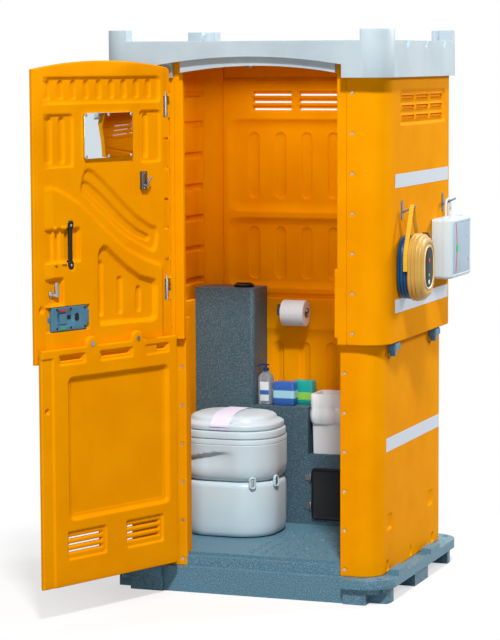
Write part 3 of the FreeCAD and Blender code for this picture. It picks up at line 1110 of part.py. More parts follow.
def outside_kit():
    """Wall hooks with the first aid case and the defibrillator bag that hang on them."""
    keep(group(kit_hook(V.hook_front), kit_hook(V.hook_rear)), "kit_hooks")
    wall = UPPER_X + V.strip_thick + V.kit_gap
    rear = CASE_FRONT + V.case_long
    head = CASE_LOW + V.case_tall
    back = rounded_box((wall, wall + V.case_back), (CASE_FRONT, rear), (CASE_LOW, head), V.case_round, X_AXIS)
    grip_x = (UPPER_X + V.grip_out, UPPER_X + V.grip_out + V.grip_thick)
    loop = box(grip_x, (V.hook_rear - V.grip_half, V.hook_rear + V.grip_half), (head - 1, GRIP_LOW + V.grip_thick))
    room = box((grip_x[0] - 1, grip_x[1] + 1),
               (V.hook_rear - V.grip_half + V.grip_thick, V.hook_rear + V.grip_half - V.grip_thick), (head, GRIP_LOW))
    lid_x = wall + V.case_back + V.lock_fit
    pin_x, pin_z = lid_x - V.lock_fit / 2, CASE_LOW - V.case_pin_drop
    middle = (CASE_FRONT + rear) / 2

    def knuckle(web, start, end):
        run = (middle + start, middle + end)
        return fuse(cylinder("Y", (pin_x, pin_z), V.case_pin, run), box(web, run, (pin_z, CASE_LOW + 1)))
    half = V.case_leaf / 2
    fixed = (lid_x - V.lock_fit - V.case_pin_drop, lid_x - V.lock_fit)
    keep(fuse(back, cut(loop, room), knuckle(fixed, half + V.slack, half + V.case_leaf),
              knuckle(fixed, -half - V.case_leaf, -half - V.slack)), "first_aid_case")
    cover = rounded_box((lid_x, lid_x + V.case_lid), (CASE_FRONT, rear), (CASE_LOW, head), V.case_round, X_AXIS)
    keep(fuse(cover, knuckle((lid_x, lid_x + V.case_pin_drop), -half, half)), "first_aid_lid")
    y = (BAG_MID - V.bag_half, BAG_MID + V.bag_half)
    z = (BAG_LOW, BAG_LOW + V.bag_tall)
    keep(rounded_box((wall, wall + V.bag_back), y, z, V.bag_round, X_AXIS), "kit_bag_back")
    start = wall + V.bag_back + V.lock_fit
    front = rounded_box((start, start + V.bag_front), y, z, V.bag_round, X_AXIS)
    far = (start + V.bag_front).value
    keep(round_edges(front, V.bag_front / 2.5, lambda edge: abs(edge.CenterOfMass.x - far) < 0.01), "kit_bag_front")
    body = new_body("Strap")
    slope = V.strap_half
    foot = BAG_LOW + V.bag_tall + V.lock_fit
    thin = V.strap_thick
    points = [(-slope, foot), (-thin * 2, STRAP_LOW + thin), (thin * 2, STRAP_LOW + thin), (slope, foot),
              (slope - thin * 1.6, foot), (thin * 1.5, STRAP_LOW), (-thin * 1.5, STRAP_LOW),
              (thin * 1.6 - slope, foot)]
    sketch = outline(body, [(V.hook_front + y_at, z_at) for y_at, z_at in points], "YZ_Plane")
    made = body.newObject("PartDesign::Pad", "Pad")
    made.Profile = sketch
    bind(made, "Length", V.strap_wide)
    bind(body, "Placement.Base.x", UPPER_X + V.strap_out)
    keep(body, "kit_bag_strap")


def build():
    """Makes every sub-part."""
    base_pallet()
    lower_walls()
    guide_pads()
    upper_walls()
    jambs()
    roof()
    upper_door()
    door_fittings()
    lower_door()
    hinges()
    side_latches()
    strips()
    console()
    flush_tank()
    toilet()
    roll_and_holder()
    shelf_goods()
    outside_kit()
    DOC.recompute()


def check_and_write():
    """Stops on any failed object or bad shape, then writes one file for each sub-part."""
    for made in DOC.Objects:
        if "Invalid" in made.State or "Error" in made.State:
            raise RuntimeError("%s (%s) failed: %s" % (made.Name, made.Label, made.State))
    for made in NODES:
        if made.Shape.isNull() or not made.Shape.isValid() or not made.Shape.Solids:
            raise RuntimeError("bad shape: " + made.Label)
    os.makedirs("parts", exist_ok=True)
    for made in NODES:
        made.Shape.exportStep("parts/%s.step" % made.Label)
    print("%d sub-parts written" % len(NODES))


build()
check_and_write()
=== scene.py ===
"""Looks of a moulded site toilet cabin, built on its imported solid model.

Everything is in metres in the model's frame: +X to the right, +Y to the back, +Z up. Sizes in the classes are
in millimetres and turned to metres where a mesh is made.
"""

import logging
import math
from dataclasses import dataclass
from enum import Enum
from typing import Any, Callable, Optional, Sequence

import bpy
import numpy as np
from mathutils import Matrix, Vector


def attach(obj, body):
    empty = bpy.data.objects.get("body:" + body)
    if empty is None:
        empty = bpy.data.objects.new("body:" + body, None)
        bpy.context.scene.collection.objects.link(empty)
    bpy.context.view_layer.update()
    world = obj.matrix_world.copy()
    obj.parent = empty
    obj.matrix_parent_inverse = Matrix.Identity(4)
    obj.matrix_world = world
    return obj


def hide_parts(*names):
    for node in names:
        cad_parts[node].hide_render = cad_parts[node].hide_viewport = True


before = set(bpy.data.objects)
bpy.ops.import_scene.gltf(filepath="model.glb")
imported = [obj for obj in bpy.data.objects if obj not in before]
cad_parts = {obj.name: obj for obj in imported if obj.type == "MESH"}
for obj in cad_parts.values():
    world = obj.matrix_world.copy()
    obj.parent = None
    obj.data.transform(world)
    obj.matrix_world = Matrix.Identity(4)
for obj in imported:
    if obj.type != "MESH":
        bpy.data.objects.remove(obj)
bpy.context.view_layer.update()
LOG = logging.getLogger("cabin")
MM = 0.001
Array = np.ndarray
Tree = bpy.types.NodeTree
Node = bpy.types.Node
Socket = bpy.types.NodeSocket
Piece = bpy.types.Object


class Hue(Enum):
    """Surface colours as sRGB hex values."""

    ORANGE = "F19C02"
    ORANGE_DEEP = "EA9200"
    STONE = "557F93"
    STONE_LIGHT = "9DBBC8"
    STONE_DARK = "2F4A58"
    SLATE = "445F6C"
    SLATE_LIGHT = "7B97A3"
    SLATE_DARK = "253642"
    MILK = "BECDD5"
    MILK_SHADE = "AFBFC8"
    # Toilet white: darkened as painted shade where the key lamp falls full on it. Bin white: the same plastic
    # lightened as painted light, for the shade the bin and liner stand in.
    WHITE = "C8DDE6"
    WHITE_SHADE = "C1D6E0"
    WHITE_PAINTED_LIGHTER = "EAF5F9"
    WHITE_PAINTED_LIGHTER_SHADE = "E2EEF3"
    BLACK = "0E0F11"
    BLACK_SHADE = "18191C"
    LOCK = "4E7F99"
    LOCK_SHADE = "426E87"
    STEEL = "B9BFC4"
    STEEL_DARK = "8C9398"
    ZINC = "7F8D98"
    ZINC_DARK = "4A5660"
    BRASS = "D6D2C6"
    BRASS_DARK = "8F8979"
    MIRROR = "D3DEE4"
    TAPE = "C1CCD8"
    TAPE_SHADE = "B2BFCD"
    TISSUE = "D3E2E8"
    TISSUE_SHADE = "C9D8DF"
    BAND = "DCE2FA"
    BAND_SHADE = "CFD6F2"
    GEL = "C8DDEE"
    BLUE = "123C86"
    PACK_BLUE = "2C63B4"
    PACK_LIGHT = "9AD6E6"
    PACK_TEAL = "11A39B"
    PACK_GREEN = "8FD04E"
    LINER = "D4E4EC"
    YELLOW = "EDBB0E"
    YELLOW_SHADE = "D09C06"
    NAVY = "07416E"
    NAVY_SHADE = "053154"
    TAN = "D0A552"
    TAN_SHADE = "BA8F3E"
    CREAM = "E9DCAE"
    LABEL = "9EB5C8"
    LABEL_SHADE = "93ACC1"
    RED = "C92B22"
    GREEN = "22B048"
    INK = "141B24"


def colour(code: str) -> tuple[float, float, float, float]:
    """Turns an sRGB hex value to linear light.

    Args:
        code: Six hex digits.
    Returns:
        Linear red, green and blue with an alpha of 1.
    """
    parts = [int(code[i:i + 2], 16) / 255 for i in (0, 2, 4)]
    red, green, blue = [p / 12.92 if p <= 0.04045 else ((p + 0.055) / 1.055) ** 2.4 for p in parts]
    return (red, green, blue, 1.0)


def add_node(tree: Tree, kind: str, inputs: Optional[dict[Any, Any]] = None,
             **settings: Any) -> Node:
    """Adds a node with its settings, input values and links.

    Args:
        tree: Node tree that takes the node.
        kind: Node type.
        inputs: Input name or index to a value, or to the output socket that feeds it.
        settings: Properties of the node.
    Returns:
        The new node.
    """
    node = tree.nodes.new(kind)
    for key, value in settings.items():
        setattr(node, key, value)
    for key, value in (inputs or {}).items():
        if isinstance(value, Socket):
            tree.links.new(value, node.inputs[key])
        else:
            node.inputs[key].default_value = value
    return node


@dataclass(frozen=True)
class Finish:
    """A surface finish that makes its material once."""

    name: str
    main: Hue

    def material(self) -> bpy.types.Material:
        """Gives the finish's material, made on first use."""
        found = bpy.data.materials.get(self.name)
        return found if found else self._make()

    def _make(self) -> bpy.types.Material:
        """Builds the node tree and sets the viewport colour."""
        made = bpy.data.materials.new(self.name)
        made.use_nodes = True
        made.diffuse_color = colour(self.main.value)
        tree = made.node_tree
        tree.nodes.clear()
        shader = add_node(tree, "ShaderNodeBsdfPrincipled", {"Base Color": colour(self.main.value)})
        add_node(tree, "ShaderNodeOutputMaterial", {"Surface": shader.outputs[0]})
        self.fill(tree, shader)
        return made

    def fill(self, tree: Tree, shader: Node) -> None:
        """Adds the finish's own nodes to the shader."""
        raise NotImplementedError

    def noise(self, tree: Tree, size_mm: float, detail: float = 2.0, rough: float = 0.5,
              stretch: Sequence[float] = (1, 1, 1)) -> Socket:
        """Noise on Object coordinates.

        Args:
            tree: Node tree that takes it.
            size_mm: Size of its blotches.
            detail: Octaves.
            rough: Weight of the fine octaves.
            stretch: Factors on the coordinates; a small one draws the pattern out along that axis.
        Returns:
            The noise value.
        """
        place = add_node(tree, "ShaderNodeTexCoord").outputs["Object"]
        turned = add_node(tree, "ShaderNodeMapping", {"Vector": place, "Scale": tuple(stretch)})
        made = add_node(tree, "ShaderNodeTexNoise", {"Vector": turned.outputs[0], "Scale": 1 / (size_mm * MM),
                                                     "Detail": detail, "Roughness": rough})
        return made.outputs[0]

    def tint(self, tree: Tree, shader: Node, value: Socket,
             *stops: tuple[float, Hue]) -> None:
        """Colours the shader by a ramp.

        Args:
            tree: Node tree of the shader.
            shader: Shader that takes the colour.
            value: What the ramp reads.
            stops: Places on the ramp and their colours.
        """
        ramp = add_node(tree, "ShaderNodeValToRGB", {0: value})
        while len(ramp.color_ramp.elements) < len(stops):
            ramp.color_ramp.elements.new(1.0)
        for element, (place, hue) in zip(ramp.color_ramp.elements, stops):
            element.position = place
            element.color = colour(hue.value)
        tree.links.new(ramp.outputs[0], shader.inputs["Base Color"])

    def roughen(self, tree: Tree, shader: Node, value: Socket, low: float,
                high: float) -> None:
        """Lets the roughness follow a noise, whose usual 0.3 to 0.7 becomes low to high.

        Args:
            tree: Node tree of the shader.
            shader: Shader that takes the roughness.
            value: The noise.
            low: Smallest usual roughness.
            high: Largest usual roughness.
        """
        made = add_node(tree, "ShaderNodeMapRange", {"Value": value, "From Min": 0.3, "From Max": 0.7,
                                                     "To Min": low, "To Max": high})
        tree.links.new(made.outputs[0], shader.inputs["Roughness"])

    def settle(self, shader: Node, values: dict[str, Any]) -> None:
        """Sets plain values of the shader by their input names."""
        for key, value in values.items():
            shader.inputs[key].default_value = value

    def bumps(self, tree: Tree, shader: Node,
              *layers: tuple[Socket, float]) -> None:
        """Chains bump nodes into the shader's normal.

        Args:
            tree: Node tree of the shader.
            shader: Shader that takes the normal.
            layers: Heights, each with its depth in millimetres.
        """
        normal = None
        for height, depth in layers:
            inputs = {"Height": height, "Distance": depth * MM, "Strength": 1.0}
            if normal is not None:
                inputs["Normal"] = normal
            normal = add_node(tree, "ShaderNodeBump", inputs).outputs[0]
        tree.links.new(normal, shader.inputs["Normal"])


@dataclass(frozen=True)
class MouldedPlastic(Finish):
    """Polyethylene from a heated mould: satin, finely grained, with faint flow clouds and rubbed patches."""

    shade: Hue = Hue.WHITE_SHADE
    rough: float = 0.45
    grain_mm: float = 2.2
    grain_deep: float = 0.05
    wave_deep: float = 0.3
    shine: float = 0.3

    def fill(self, tree: Tree, shader: Node) -> None:
        """Clouds of a deeper tone, uneven gloss, the slow waviness of a large moulding, and grain."""
        self.tint(tree, shader, self.noise(tree, 180, 3), (0.35, self.main), (0.75, self.shade))
        self.roughen(tree, shader, self.noise(tree, 60, 4, 0.6), self.rough - 0.03, self.rough + 0.04)
        self.settle(shader, {"IOR": 1.5, "Specular IOR Level": self.shine})
        self.bumps(tree, shader, (self.noise(tree, 150, 1), self.wave_deep),
                   (self.noise(tree, self.grain_mm, 2), self.grain_deep))


@dataclass(frozen=True)
class StonePlastic(MouldedPlastic):
    """Polyethylene with pale and dark flecks mixed in before moulding, so it reads as granite."""

    pale: Hue = Hue.STONE_LIGHT
    dark: Hue = Hue.STONE_DARK
    fleck_mm: float = 5.0

    def fill(self, tree: Tree, shader: Node) -> None:
        """Flecks about 5 mm across, twice the real size so that they show."""
        flecks = self.noise(tree, self.fleck_mm, 3, 0.75)
        self.tint(tree, shader, flecks, (0.32, self.dark), (0.46, self.main), (0.55, self.main), (0.70, self.pale))
        self.settle(shader, {"Roughness": self.rough, "IOR": 1.5, "Specular IOR Level": self.shine})
        self.bumps(tree, shader, (self.noise(tree, 120, 1), self.wave_deep),
                   (self.noise(tree, self.grain_mm, 2), self.grain_deep))


@dataclass(frozen=True)
class MilkyPlastic(MouldedPlastic):
    """Unpigmented polyethylene sheet: daylight soaks into it and its edges glow."""

    def fill(self, tree: Tree, shader: Node) -> None:
        """The moulded look, with light scattered 12 mm deep."""
        super().fill(tree, shader)
        self.settle(shader, {"Subsurface Weight": 0.35, "Subsurface Radius": (1.0, 1.0, 1.0),
                             "Subsurface Scale": 12 * MM})


@dataclass(frozen=True)
class Metal(Finish):
    """Rolled, turned or plated metal with fine drawn lines."""

    shade: Hue = Hue.STEEL_DARK
    rough: float = 0.3
    lines_mm: float = 1.5
    drawn: tuple[float, float, float] = (1.0, 1.0, 0.08)

    def fill(self, tree: Tree, shader: Node) -> None:
        """Lines drawn out along one axis in tone, gloss and height."""
        lines = self.noise(tree, self.lines_mm, 3, 0.6, self.drawn)
        self.tint(tree, shader, lines, (0.3, self.shade), (0.65, self.main))
        self.roughen(tree, shader, lines, self.rough - 0.08, self.rough + 0.12)
        self.settle(shader, {"Metallic": 1.0})
        self.bumps(tree, shader, (lines, 0.03))


@dataclass(frozen=True)
class Silvering(Finish):
    """Silvered acrylic: a clear reflection with the faint ripple of a thin sheet."""

    def fill(self, tree: Tree, shader: Node) -> None:
        """Mirror metal with a slight haze under a slow ripple."""
        self.settle(shader, {"Metallic": 1.0})
        self.roughen(tree, shader, self.noise(tree, 40, 3), 0.015, 0.05)
        self.bumps(tree, shader, (self.noise(tree, 90, 1), 0.12))


@dataclass(frozen=True)
class BeadedTape(Finish):
    """Reflective tape: glass beads under a clear film, with a faint welded honeycomb."""

    shade: Hue = Hue.TAPE_SHADE

    def fill(self, tree: Tree, shader: Node) -> None:
        """Cells 12 mm across with slightly darker welds, under a glossy coat."""
        place = add_node(tree, "ShaderNodeTexCoord").outputs["Object"]
        cells = add_node(tree, "ShaderNodeTexVoronoi", {"Vector": place, "Scale": 1 / (12 * MM), "Randomness": 0.1},
                         feature="DISTANCE_TO_EDGE")
        self.tint(tree, shader, cells.outputs[0], (0.02, self.shade), (0.07, self.main))
        self.settle(shader, {"Roughness": 0.35, "Metallic": 0.15, "Coat Weight": 0.4, "Coat Roughness": 0.12})
        self.bumps(tree, shader, (self.noise(tree, 1.2, 2), 0.03))


@dataclass(frozen=True)
class Tissue(Finish):
    """Soft creped paper: matt, with fine cross wrinkles and a loose fibre surface."""

    shade: Hue = Hue.TISSUE_SHADE
    wrinkle_mm: float = 3.0

    def fill(self, tree: Tree, shader: Node) -> None:
        """Wrinkles across the sheet over a fibrous tone."""
        self.tint(tree, shader, self.noise(tree, 8, 4, 0.7), (0.3, self.shade), (0.6, self.main))
        self.settle(shader, {"Roughness": 0.9, "Sheen Weight": 0.2})
        self.bumps(tree, shader, (self.noise(tree, self.wrinkle_mm, 2, 0.6, (0.3, 1, 1)), 0.25))


@dataclass(frozen=True)
class ClearPlastic(Finish):
    """Clear blown plastic filled with a faintly blue gel."""

    def fill(self, tree: Tree, shader: Node) -> None:
        """Mostly transmitted light, with slight ripples from blowing."""
        self.settle(shader, {"Transmission Weight": 0.75, "IOR": 1.35})
        self.roughen(tree, shader, self.noise(tree, 15, 2), 0.05, 0.14)
        self.bumps(tree, shader, (self.noise(tree, 12, 1), 0.15))


@dataclass(frozen=True)
class PrintedFilm(Finish):
    """Glossy packet film in a few plain colours, crinkled where it is sealed."""

    second: Hue = Hue.PACK_LIGHT
    band_mm: float = 60.0
    start_mm: float = 0.0

    def fill(self, tree: Tree, shader: Node) -> None:
        """Plain bands of two colours up the packet and soft crinkles."""
        place = add_node(tree, "ShaderNodeTexCoord").outputs["Object"]
        height = add_node(tree, "ShaderNodeSeparateXYZ", {0: place}).outputs[2]
        share = add_node(tree, "ShaderNodeMapRange", {"Value": height, "From Min": self.start_mm * MM,
                                                      "From Max": (self.start_mm + self.band_mm) * MM}).outputs[0]
        self.tint(tree, shader, share, (0.30, self.main), (0.34, self.second), (0.62, self.second),
                  (0.66, self.main))
        self.settle(shader, {"Roughness": 0.28})
        self.bumps(tree, shader, (self.noise(tree, 14, 3, 0.6), 0.8))


@dataclass(frozen=True)
class WovenBand(Finish):
    """Nylon webbing: a tight weave with a soft sheen."""

    shade: Hue = Hue.YELLOW_SHADE
    thread_mm: float = 1.6

    def fill(self, tree: Tree, shader: Node) -> None:
        """Threads crossing at right angles, each about 1.6 mm; a wave texture repeats 3.14 times per unit."""
        place = add_node(tree, "ShaderNodeTexCoord").outputs["Object"]
        scale = 1 / (self.thread_mm * 2 * MM) / 3.14
        waves = [add_node(tree, "ShaderNodeTexWave", {"Vector": place, "Scale": scale}, bands_direction=axis)
                 .outputs[1] for axis in ("Y", "Z")]
        weave = add_node(tree, "ShaderNodeMath", {0: waves[0], 1: waves[1]}, operation="MULTIPLY").outputs[0]
        self.tint(tree, shader, weave, (0.0, self.shade), (0.6, self.main))
        self.settle(shader, {"Roughness": 0.75, "Sheen Weight": 0.3})
        self.bumps(tree, shader, (weave, 0.25))


# Walls and door: a warm, nearly matt orange that clouds and waves keep from looking like paint.
SHELL = MouldedPlastic("moulded_orange_polyethylene", Hue.ORANGE, Hue.ORANGE_DEEP, 0.5, shine=0.01)
# Base: blue-grey with pale and dark flecks, like granite. Console and tank: the same, darker and a little glossier.
STONE = StonePlastic("moulded_stone_polyethylene", Hue.STONE, rough=0.5)
SLATE = StonePlastic("moulded_slate_polyethylene", Hue.SLATE, rough=0.42, pale=Hue.SLATE_LIGHT, dark=Hue.SLATE_DARK)
# Roof: bluish white that glows a little where light gets into it.
ROOF = MilkyPlastic("milky_roof_polyethylene", Hue.MILK, Hue.MILK_SHADE, 0.45)
# Toilet, first-aid case and bin: smooth and ungrained, with soft highlights along their rims. The white of the toilet
# and case is darkened as painted shade under the full key lamp, and the bin's copy of it is lightened as painted
# light for the shade the bin stands in.
WHITE = MouldedPlastic("glossy_white_polypropylene", Hue.WHITE, Hue.WHITE_SHADE, 0.32, 2.0, 0.0, 0.0, 0.35)
WHITE_PAINTED_LIGHTER = MouldedPlastic("white_polypropylene_painted_lighter", Hue.WHITE_PAINTED_LIGHTER, Hue.WHITE_PAINTED_LIGHTER_SHADE, 0.38, 2.0, 0.0, 0.0, 0.35)
# Small fittings: near-black and blue-grey nylon with a fine grain that breaks up their highlights.
BLACK = MouldedPlastic("black_nylon", Hue.BLACK, Hue.BLACK_SHADE, 0.4, 1.2, 0.03, 0.05, 0.3)
LOCK = MouldedPlastic("blue_grey_nylon", Hue.LOCK, Hue.LOCK_SHADE, 0.42, 1.2, 0.03, 0.05)
# Metals: bright rolled steel, duller bluish zinc, and screws with a warm tinge.
STEEL = Metal("rolled_steel", Hue.STEEL)
ZINC = Metal("zinc_plated_steel", Hue.ZINC, Hue.ZINC_DARK, 0.38)
BRASS = Metal("passivated_screw_steel", Hue.BRASS, Hue.BRASS_DARK, 0.35)
# A clear reflection that bends slightly, and pale tape with a honeycomb that shows close up.
MIRROR = Silvering("silvered_acrylic", Hue.MIRROR)
TAPE = BeadedTape("reflective_tape", Hue.TAPE)
# Paper: matt and wrinkled on the roll, smoother and faintly violet on the lid.
TISSUE = Tissue("creped_tissue", Hue.TISSUE)
BAND = Tissue("thin_paper_band", Hue.BAND, Hue.BAND_SHADE, 30.0)
# Supplies: see-through bottle, deep blue pump, banded label and packets with crinkled highlights.
GEL = ClearPlastic("clear_gel_bottle", Hue.GEL)
PUMP = MouldedPlastic("blue_polypropylene", Hue.BLUE, Hue.NAVY_SHADE, 0.3, 1.2, 0.02, 0.05)
TAG = PrintedFilm("plain_bottle_label", Hue.TISSUE, Hue.PACK_BLUE, 60, 655)
PACK_ONE = PrintedFilm("blue_packet_film", Hue.PACK_BLUE, Hue.PACK_LIGHT, 98, 633)
PACK_TWO = PrintedFilm("teal_packet_film", Hue.PACK_TEAL, Hue.PACK_GREEN, 98, 620)
# Bin liner: shiny and finely crumpled, so that it parts from the bin behind it. Its main colour is the bin's
# lightened white, painted light.
LINER = MouldedPlastic("thin_liner_film", Hue.WHITE_PAINTED_LIGHTER, Hue.LINER, 0.3, 9.0, 0.5, 0.4, 0.5)
# Kit bag: a woven strap, two grained shells, a smoother rim and a dark window with plain lamps.
WEBBING = WovenBand("yellow_nylon_webbing", Hue.YELLOW)
NAVY = MouldedPlastic("blue_case_plastic", Hue.NAVY, Hue.NAVY_SHADE, 0.42, 1.5, 0.06, 0.2)
TAN = MouldedPlastic("tan_case_plastic", Hue.TAN, Hue.TAN_SHADE, 0.45, 1.5, 0.06, 0.2)
CREAM = MouldedPlastic("cream_rim_plastic", Hue.CREAM, Hue.TAN, 0.35, 1.5, 0.02, 0.1)
SCREEN = MouldedPlastic("dark_display_window", Hue.INK, Hue.BLACK, 0.35, 1.2, 0.0, 0.02, 0.08)
RED = MouldedPlastic("red_marker_plastic", Hue.RED, Hue.RED, 0.35, 1.2, 0.02, 0.05)
GREEN = MouldedPlastic("green_marker_plastic", Hue.GREEN, Hue.GREEN, 0.35, 1.2, 0.02, 0.05)
# Label of the first-aid case: a blank film, bluer and flatter than the lid around it.
LABEL = MouldedPlastic("blank_label_film", Hue.LABEL, Hue.LABEL_SHADE, 0.3, 1.5, 0.0, 0.05)


@dataclass(frozen=True)
class Seat:
    """Local axes in the model's frame, in millimetres."""

    origin: tuple[float, float, float] = (0, 0, 0)
    first: tuple[float, float, float] = (1, 0, 0)
    second: tuple[float, float, float] = (0, 1, 0)
    third: tuple[float, float, float] = (0, 0, 1)

    def place(self, points: Array) -> Array:
        """Turns local points, given as rows, to the frame."""
        axes = np.array([self.first, self.second, self.third], float)
        return np.asarray(points, float) @ axes + np.array(self.origin, float)


DOOR_TURN = math.radians(-111.5)
# Axes of the open door: along the leaf, through it towards the inner face, and up.
HINGE = Seat((-308, -516, 0), (math.cos(DOOR_TURN), math.sin(DOOR_TURN), 0),
             (-math.sin(DOOR_TURN), math.cos(DOOR_TURN), 0))


def on_door(along: float, height: float, depth: float) -> Seat:
    """Axes of a plate on the open door's inner face: across it, up it and out of it."""
    spot = HINGE.place([[along, depth, height]])[0]
    return Seat(tuple(spot), tuple(-x for x in HINGE.first), (0, 0, 1), HINGE.second)


def on_side(side: int, x: float, y: float, z: float) -> Seat:
    """Axes of a plate on a side wall: along it, up it and out of it."""
    return Seat((side * x, y, z), (0, side, 0), (0, 0, 1), (side, 0, 0))


def facing_front(x: float, y: float, z: float) -> Seat:
    """Axes of a plate that faces the front: to the right, up and out."""
    return Seat((x, y, z), (1, 0, 0), (0, 0, 1), (0, -1, 0))


def mesh_piece(name: str, points: Array, faces: Sequence[Array], smooth_deg: float = 35) -> Piece:
    """Makes a mesh object at the origin.

    Args:
        name: Piece name.
        points: Vertices in millimetres, one row each.
        faces: Arrays of vertex numbers; the rows of one array are faces with as many corners as it has columns.
        smooth_deg: Edges sharper than this stay sharp in the shading.
    Returns:
        The object, linked to the scene.
    """
    mesh = bpy.data.meshes.new(name)
    faces = [np.asarray(block, np.int64) for block in faces if len(block)]
    corners = np.concatenate([block.ravel() for block in faces])
    totals = np.concatenate([np.full(len(block), block.shape[1]) for block in faces])
    starts = np.concatenate([[0], np.cumsum(totals)[:-1]])
    mesh.vertices.add(len(points))
    mesh.vertices.foreach_set("co", (np.asarray(points, float) * MM).astype(np.float32).ravel())
    mesh.loops.add(len(corners))
    mesh.loops.foreach_set("vertex_index", corners.astype(np.int32))
    mesh.polygons.add(len(totals))
    mesh.polygons.foreach_set("loop_start", starts.astype(np.int32))
    mesh.polygons.foreach_set("use_smooth", np.ones(len(totals), bool))
    mesh.update(calc_edges=True)
    mesh.validate()
    mesh.set_sharp_from_angle(angle=math.radians(smooth_deg))
    made = bpy.data.objects.new(name, mesh)
    bpy.context.scene.collection.objects.link(made)
    return made


def ring_quads(rows: int, columns: int, offset: int = 0) -> Array:
    """Quads of a grid that is closed along its columns.

    Args:
        rows: Rings of points.
        columns: Points of each ring.
        offset: Number of the first point.
    Returns:
        One row of four vertex numbers for each quad.
    """
    row, column = np.meshgrid(np.arange(rows - 1), np.arange(columns), indexing="ij")
    after = (column + 1) % columns
    quads = [row * columns + column, row * columns + after, (row + 1) * columns + after, (row + 1) * columns + column]
    return np.stack([q.ravel() for q in quads], axis=1) + offset


@dataclass(frozen=True)
class Plan:
    """Rounded rectangle in plan, by its half sizes and corner radius."""

    half_x: float
    half_y: float
    radius: float
    steps: int = 10

    def parts(self) -> tuple[Array, Array]:
        """Corner centres and unit normals of the outline's points, anticlockwise."""
        turn = np.linspace(0, math.pi / 2, self.steps)
        angles = np.concatenate([turn + math.pi / 2 * k for k in range(4)])
        normals = np.stack([np.cos(angles), np.sin(angles)], axis=1)
        signs = np.repeat(np.array([[1, 1], [-1, 1], [-1, -1], [1, -1]], float), self.steps, axis=0)
        return signs * np.array([self.half_x - self.radius, self.half_y - self.radius]), normals

    def even(self, count: int) -> tuple[Array, Array]:
        """The same at even lengths round the outline, so that its straight sides have points too.

        Args:
            count: Number of points.
        Returns:
            Centres and normals.
        """
        centres, normals = self.parts()
        centres, normals = [np.concatenate([rows, rows[:1]]) for rows in (centres, normals)]
        steps = np.linalg.norm(np.diff(centres + normals * self.radius, axis=0), axis=1)
        lengths = np.concatenate([[0], np.cumsum(steps)])
        places = np.linspace(0, lengths[-1], count, endpoint=False)
        centres, normals = [np.stack([np.interp(places, lengths, rows[:, k]) for k in (0, 1)], axis=1)
                            for rows in (centres, normals)]
        return centres, normals / np.linalg.norm(normals, axis=1, keepdims=True)


@dataclass(frozen=True)
class Lathe:
    """An outline carried along a profile of rings.

    A point of a ring is its corner's centre plus the normal times (radius less the ring's inset), then scaled
    about the middle, at the ring's height. Each ring gives its inset, height and, where it isn't 1, scale.
    """

    plan: Plan
    rings: Sequence[tuple[float, ...]]
    looped: bool = False
    around: int = 0
    warp: Optional[Callable[[Array], Array]] = None

    def mesh(self) -> tuple[Array, list[Array]]:
        """Points and faces, the two ends capped or, where it is looped, joined to one another."""
        centres, normals = self.plan.even(self.around) if self.around else self.plan.parts()
        table = np.array([(tuple(ring) + (1.0,))[:3] for ring in self.rings], float)
        reach = np.maximum(self.plan.radius - table[:, 0], 0.05)
        flat = (centres[None] + normals[None] * reach[:, None, None]) * table[:, 2][:, None, None]
        heights = np.broadcast_to(table[:, 1][:, None, None], flat.shape[:2] + (1,))
        points = np.concatenate([flat, heights], axis=2).reshape(-1, 3)
        if self.warp is not None:
            points = self.warp(points)
        count, rows = len(normals), len(table)
        faces = [ring_quads(rows, count)]
        if self.looped:
            seam = np.arange(count)
            after, last = (seam + 1) % count, (rows - 1) * count
            faces.append(np.stack([last + seam, last + after, after, seam], axis=1))
        else:
            faces += [np.arange(count)[::-1][None], np.arange(count)[None] + (rows - 1) * count]
        return points, faces

    def piece(self, name: str, *seats: Seat, smooth_deg: float = 35) -> Piece:
        """Makes one mesh with a copy of the shape on each seat.

        Args:
            name: Piece name.
            seats: Local axes of each copy; the frame's own if there are none.
            smooth_deg: Shading angle.
        Returns:
            The piece.
        """
        points, faces = self.mesh()
        seats = seats or (Seat(),)
        every = np.concatenate([seat.place(points) for seat in seats])
        copies = [block + index * len(points) for index in range(len(seats)) for block in faces]
        return mesh_piece(name, every, copies, smooth_deg)


def rounded_rings(low: float, high: float, edge: float, steps: int = 5, base_edge: Optional[float] = None
                  ) -> list[tuple[float, float]]:
    """Rings of an upright block whose rims are quarter rounds.

    Args:
        low: Foot height.
        high: Head height.
        edge: Radius of the upper rim.
        steps: Points of each quarter round.
        base_edge: Radius of the lower rim, the same as the upper one if None.
    Returns:
        Inset and height of each ring: radius less its cosine, and the height moved by its sine.
    """
    foot = edge if base_edge is None else base_edge
    turn = np.linspace(0, math.pi / 2, steps)
    rings = [(foot * (1 - math.sin(a)), low + foot * (1 - math.cos(a))) for a in turn]
    return rings + [(edge * (1 - math.cos(a)), high - edge * (1 - math.sin(a))) for a in turn]


def disc(radius: float, high: float, edge: float = 1.0, low: float = 0.0, steps: int = 8) -> Lathe:
    """Round plate or stub with a softened upper rim."""
    return Lathe(Plan(radius, radius, radius, steps), rounded_rings(low, high, edge, 4, 0.2))


def plate(half_x: float, half_y: float, radius: float, high: float, edge: float = 1.0, low: float = 0.0) -> Lathe:
    """Flat rounded plate with a softened upper rim."""
    return Lathe(Plan(half_x, half_y, radius, 6), rounded_rings(low, high, edge, 4, 0.2))


def cut_out(name: str, outline: Sequence[tuple[float, float]], low: float, high: float, seat: Seat
            ) -> Piece:
    """Flat plate of any outline: two faces of the outline and the quads between them.

    Args:
        name: Piece name.
        outline: Its corners, anticlockwise.
        low: Height of the back face over the seat.
        high: Height of the front face.
        seat: Local axes.
    Returns:
        The piece.
    """
    flat = np.array(outline, float)
    count = len(flat)
    points = np.concatenate([np.c_[flat, np.full(count, low)], np.c_[flat, np.full(count, high)]])
    faces = [ring_quads(2, count), np.arange(count)[::-1][None], np.arange(count)[None] + count]
    return mesh_piece(name, seat.place(points), faces, 30)


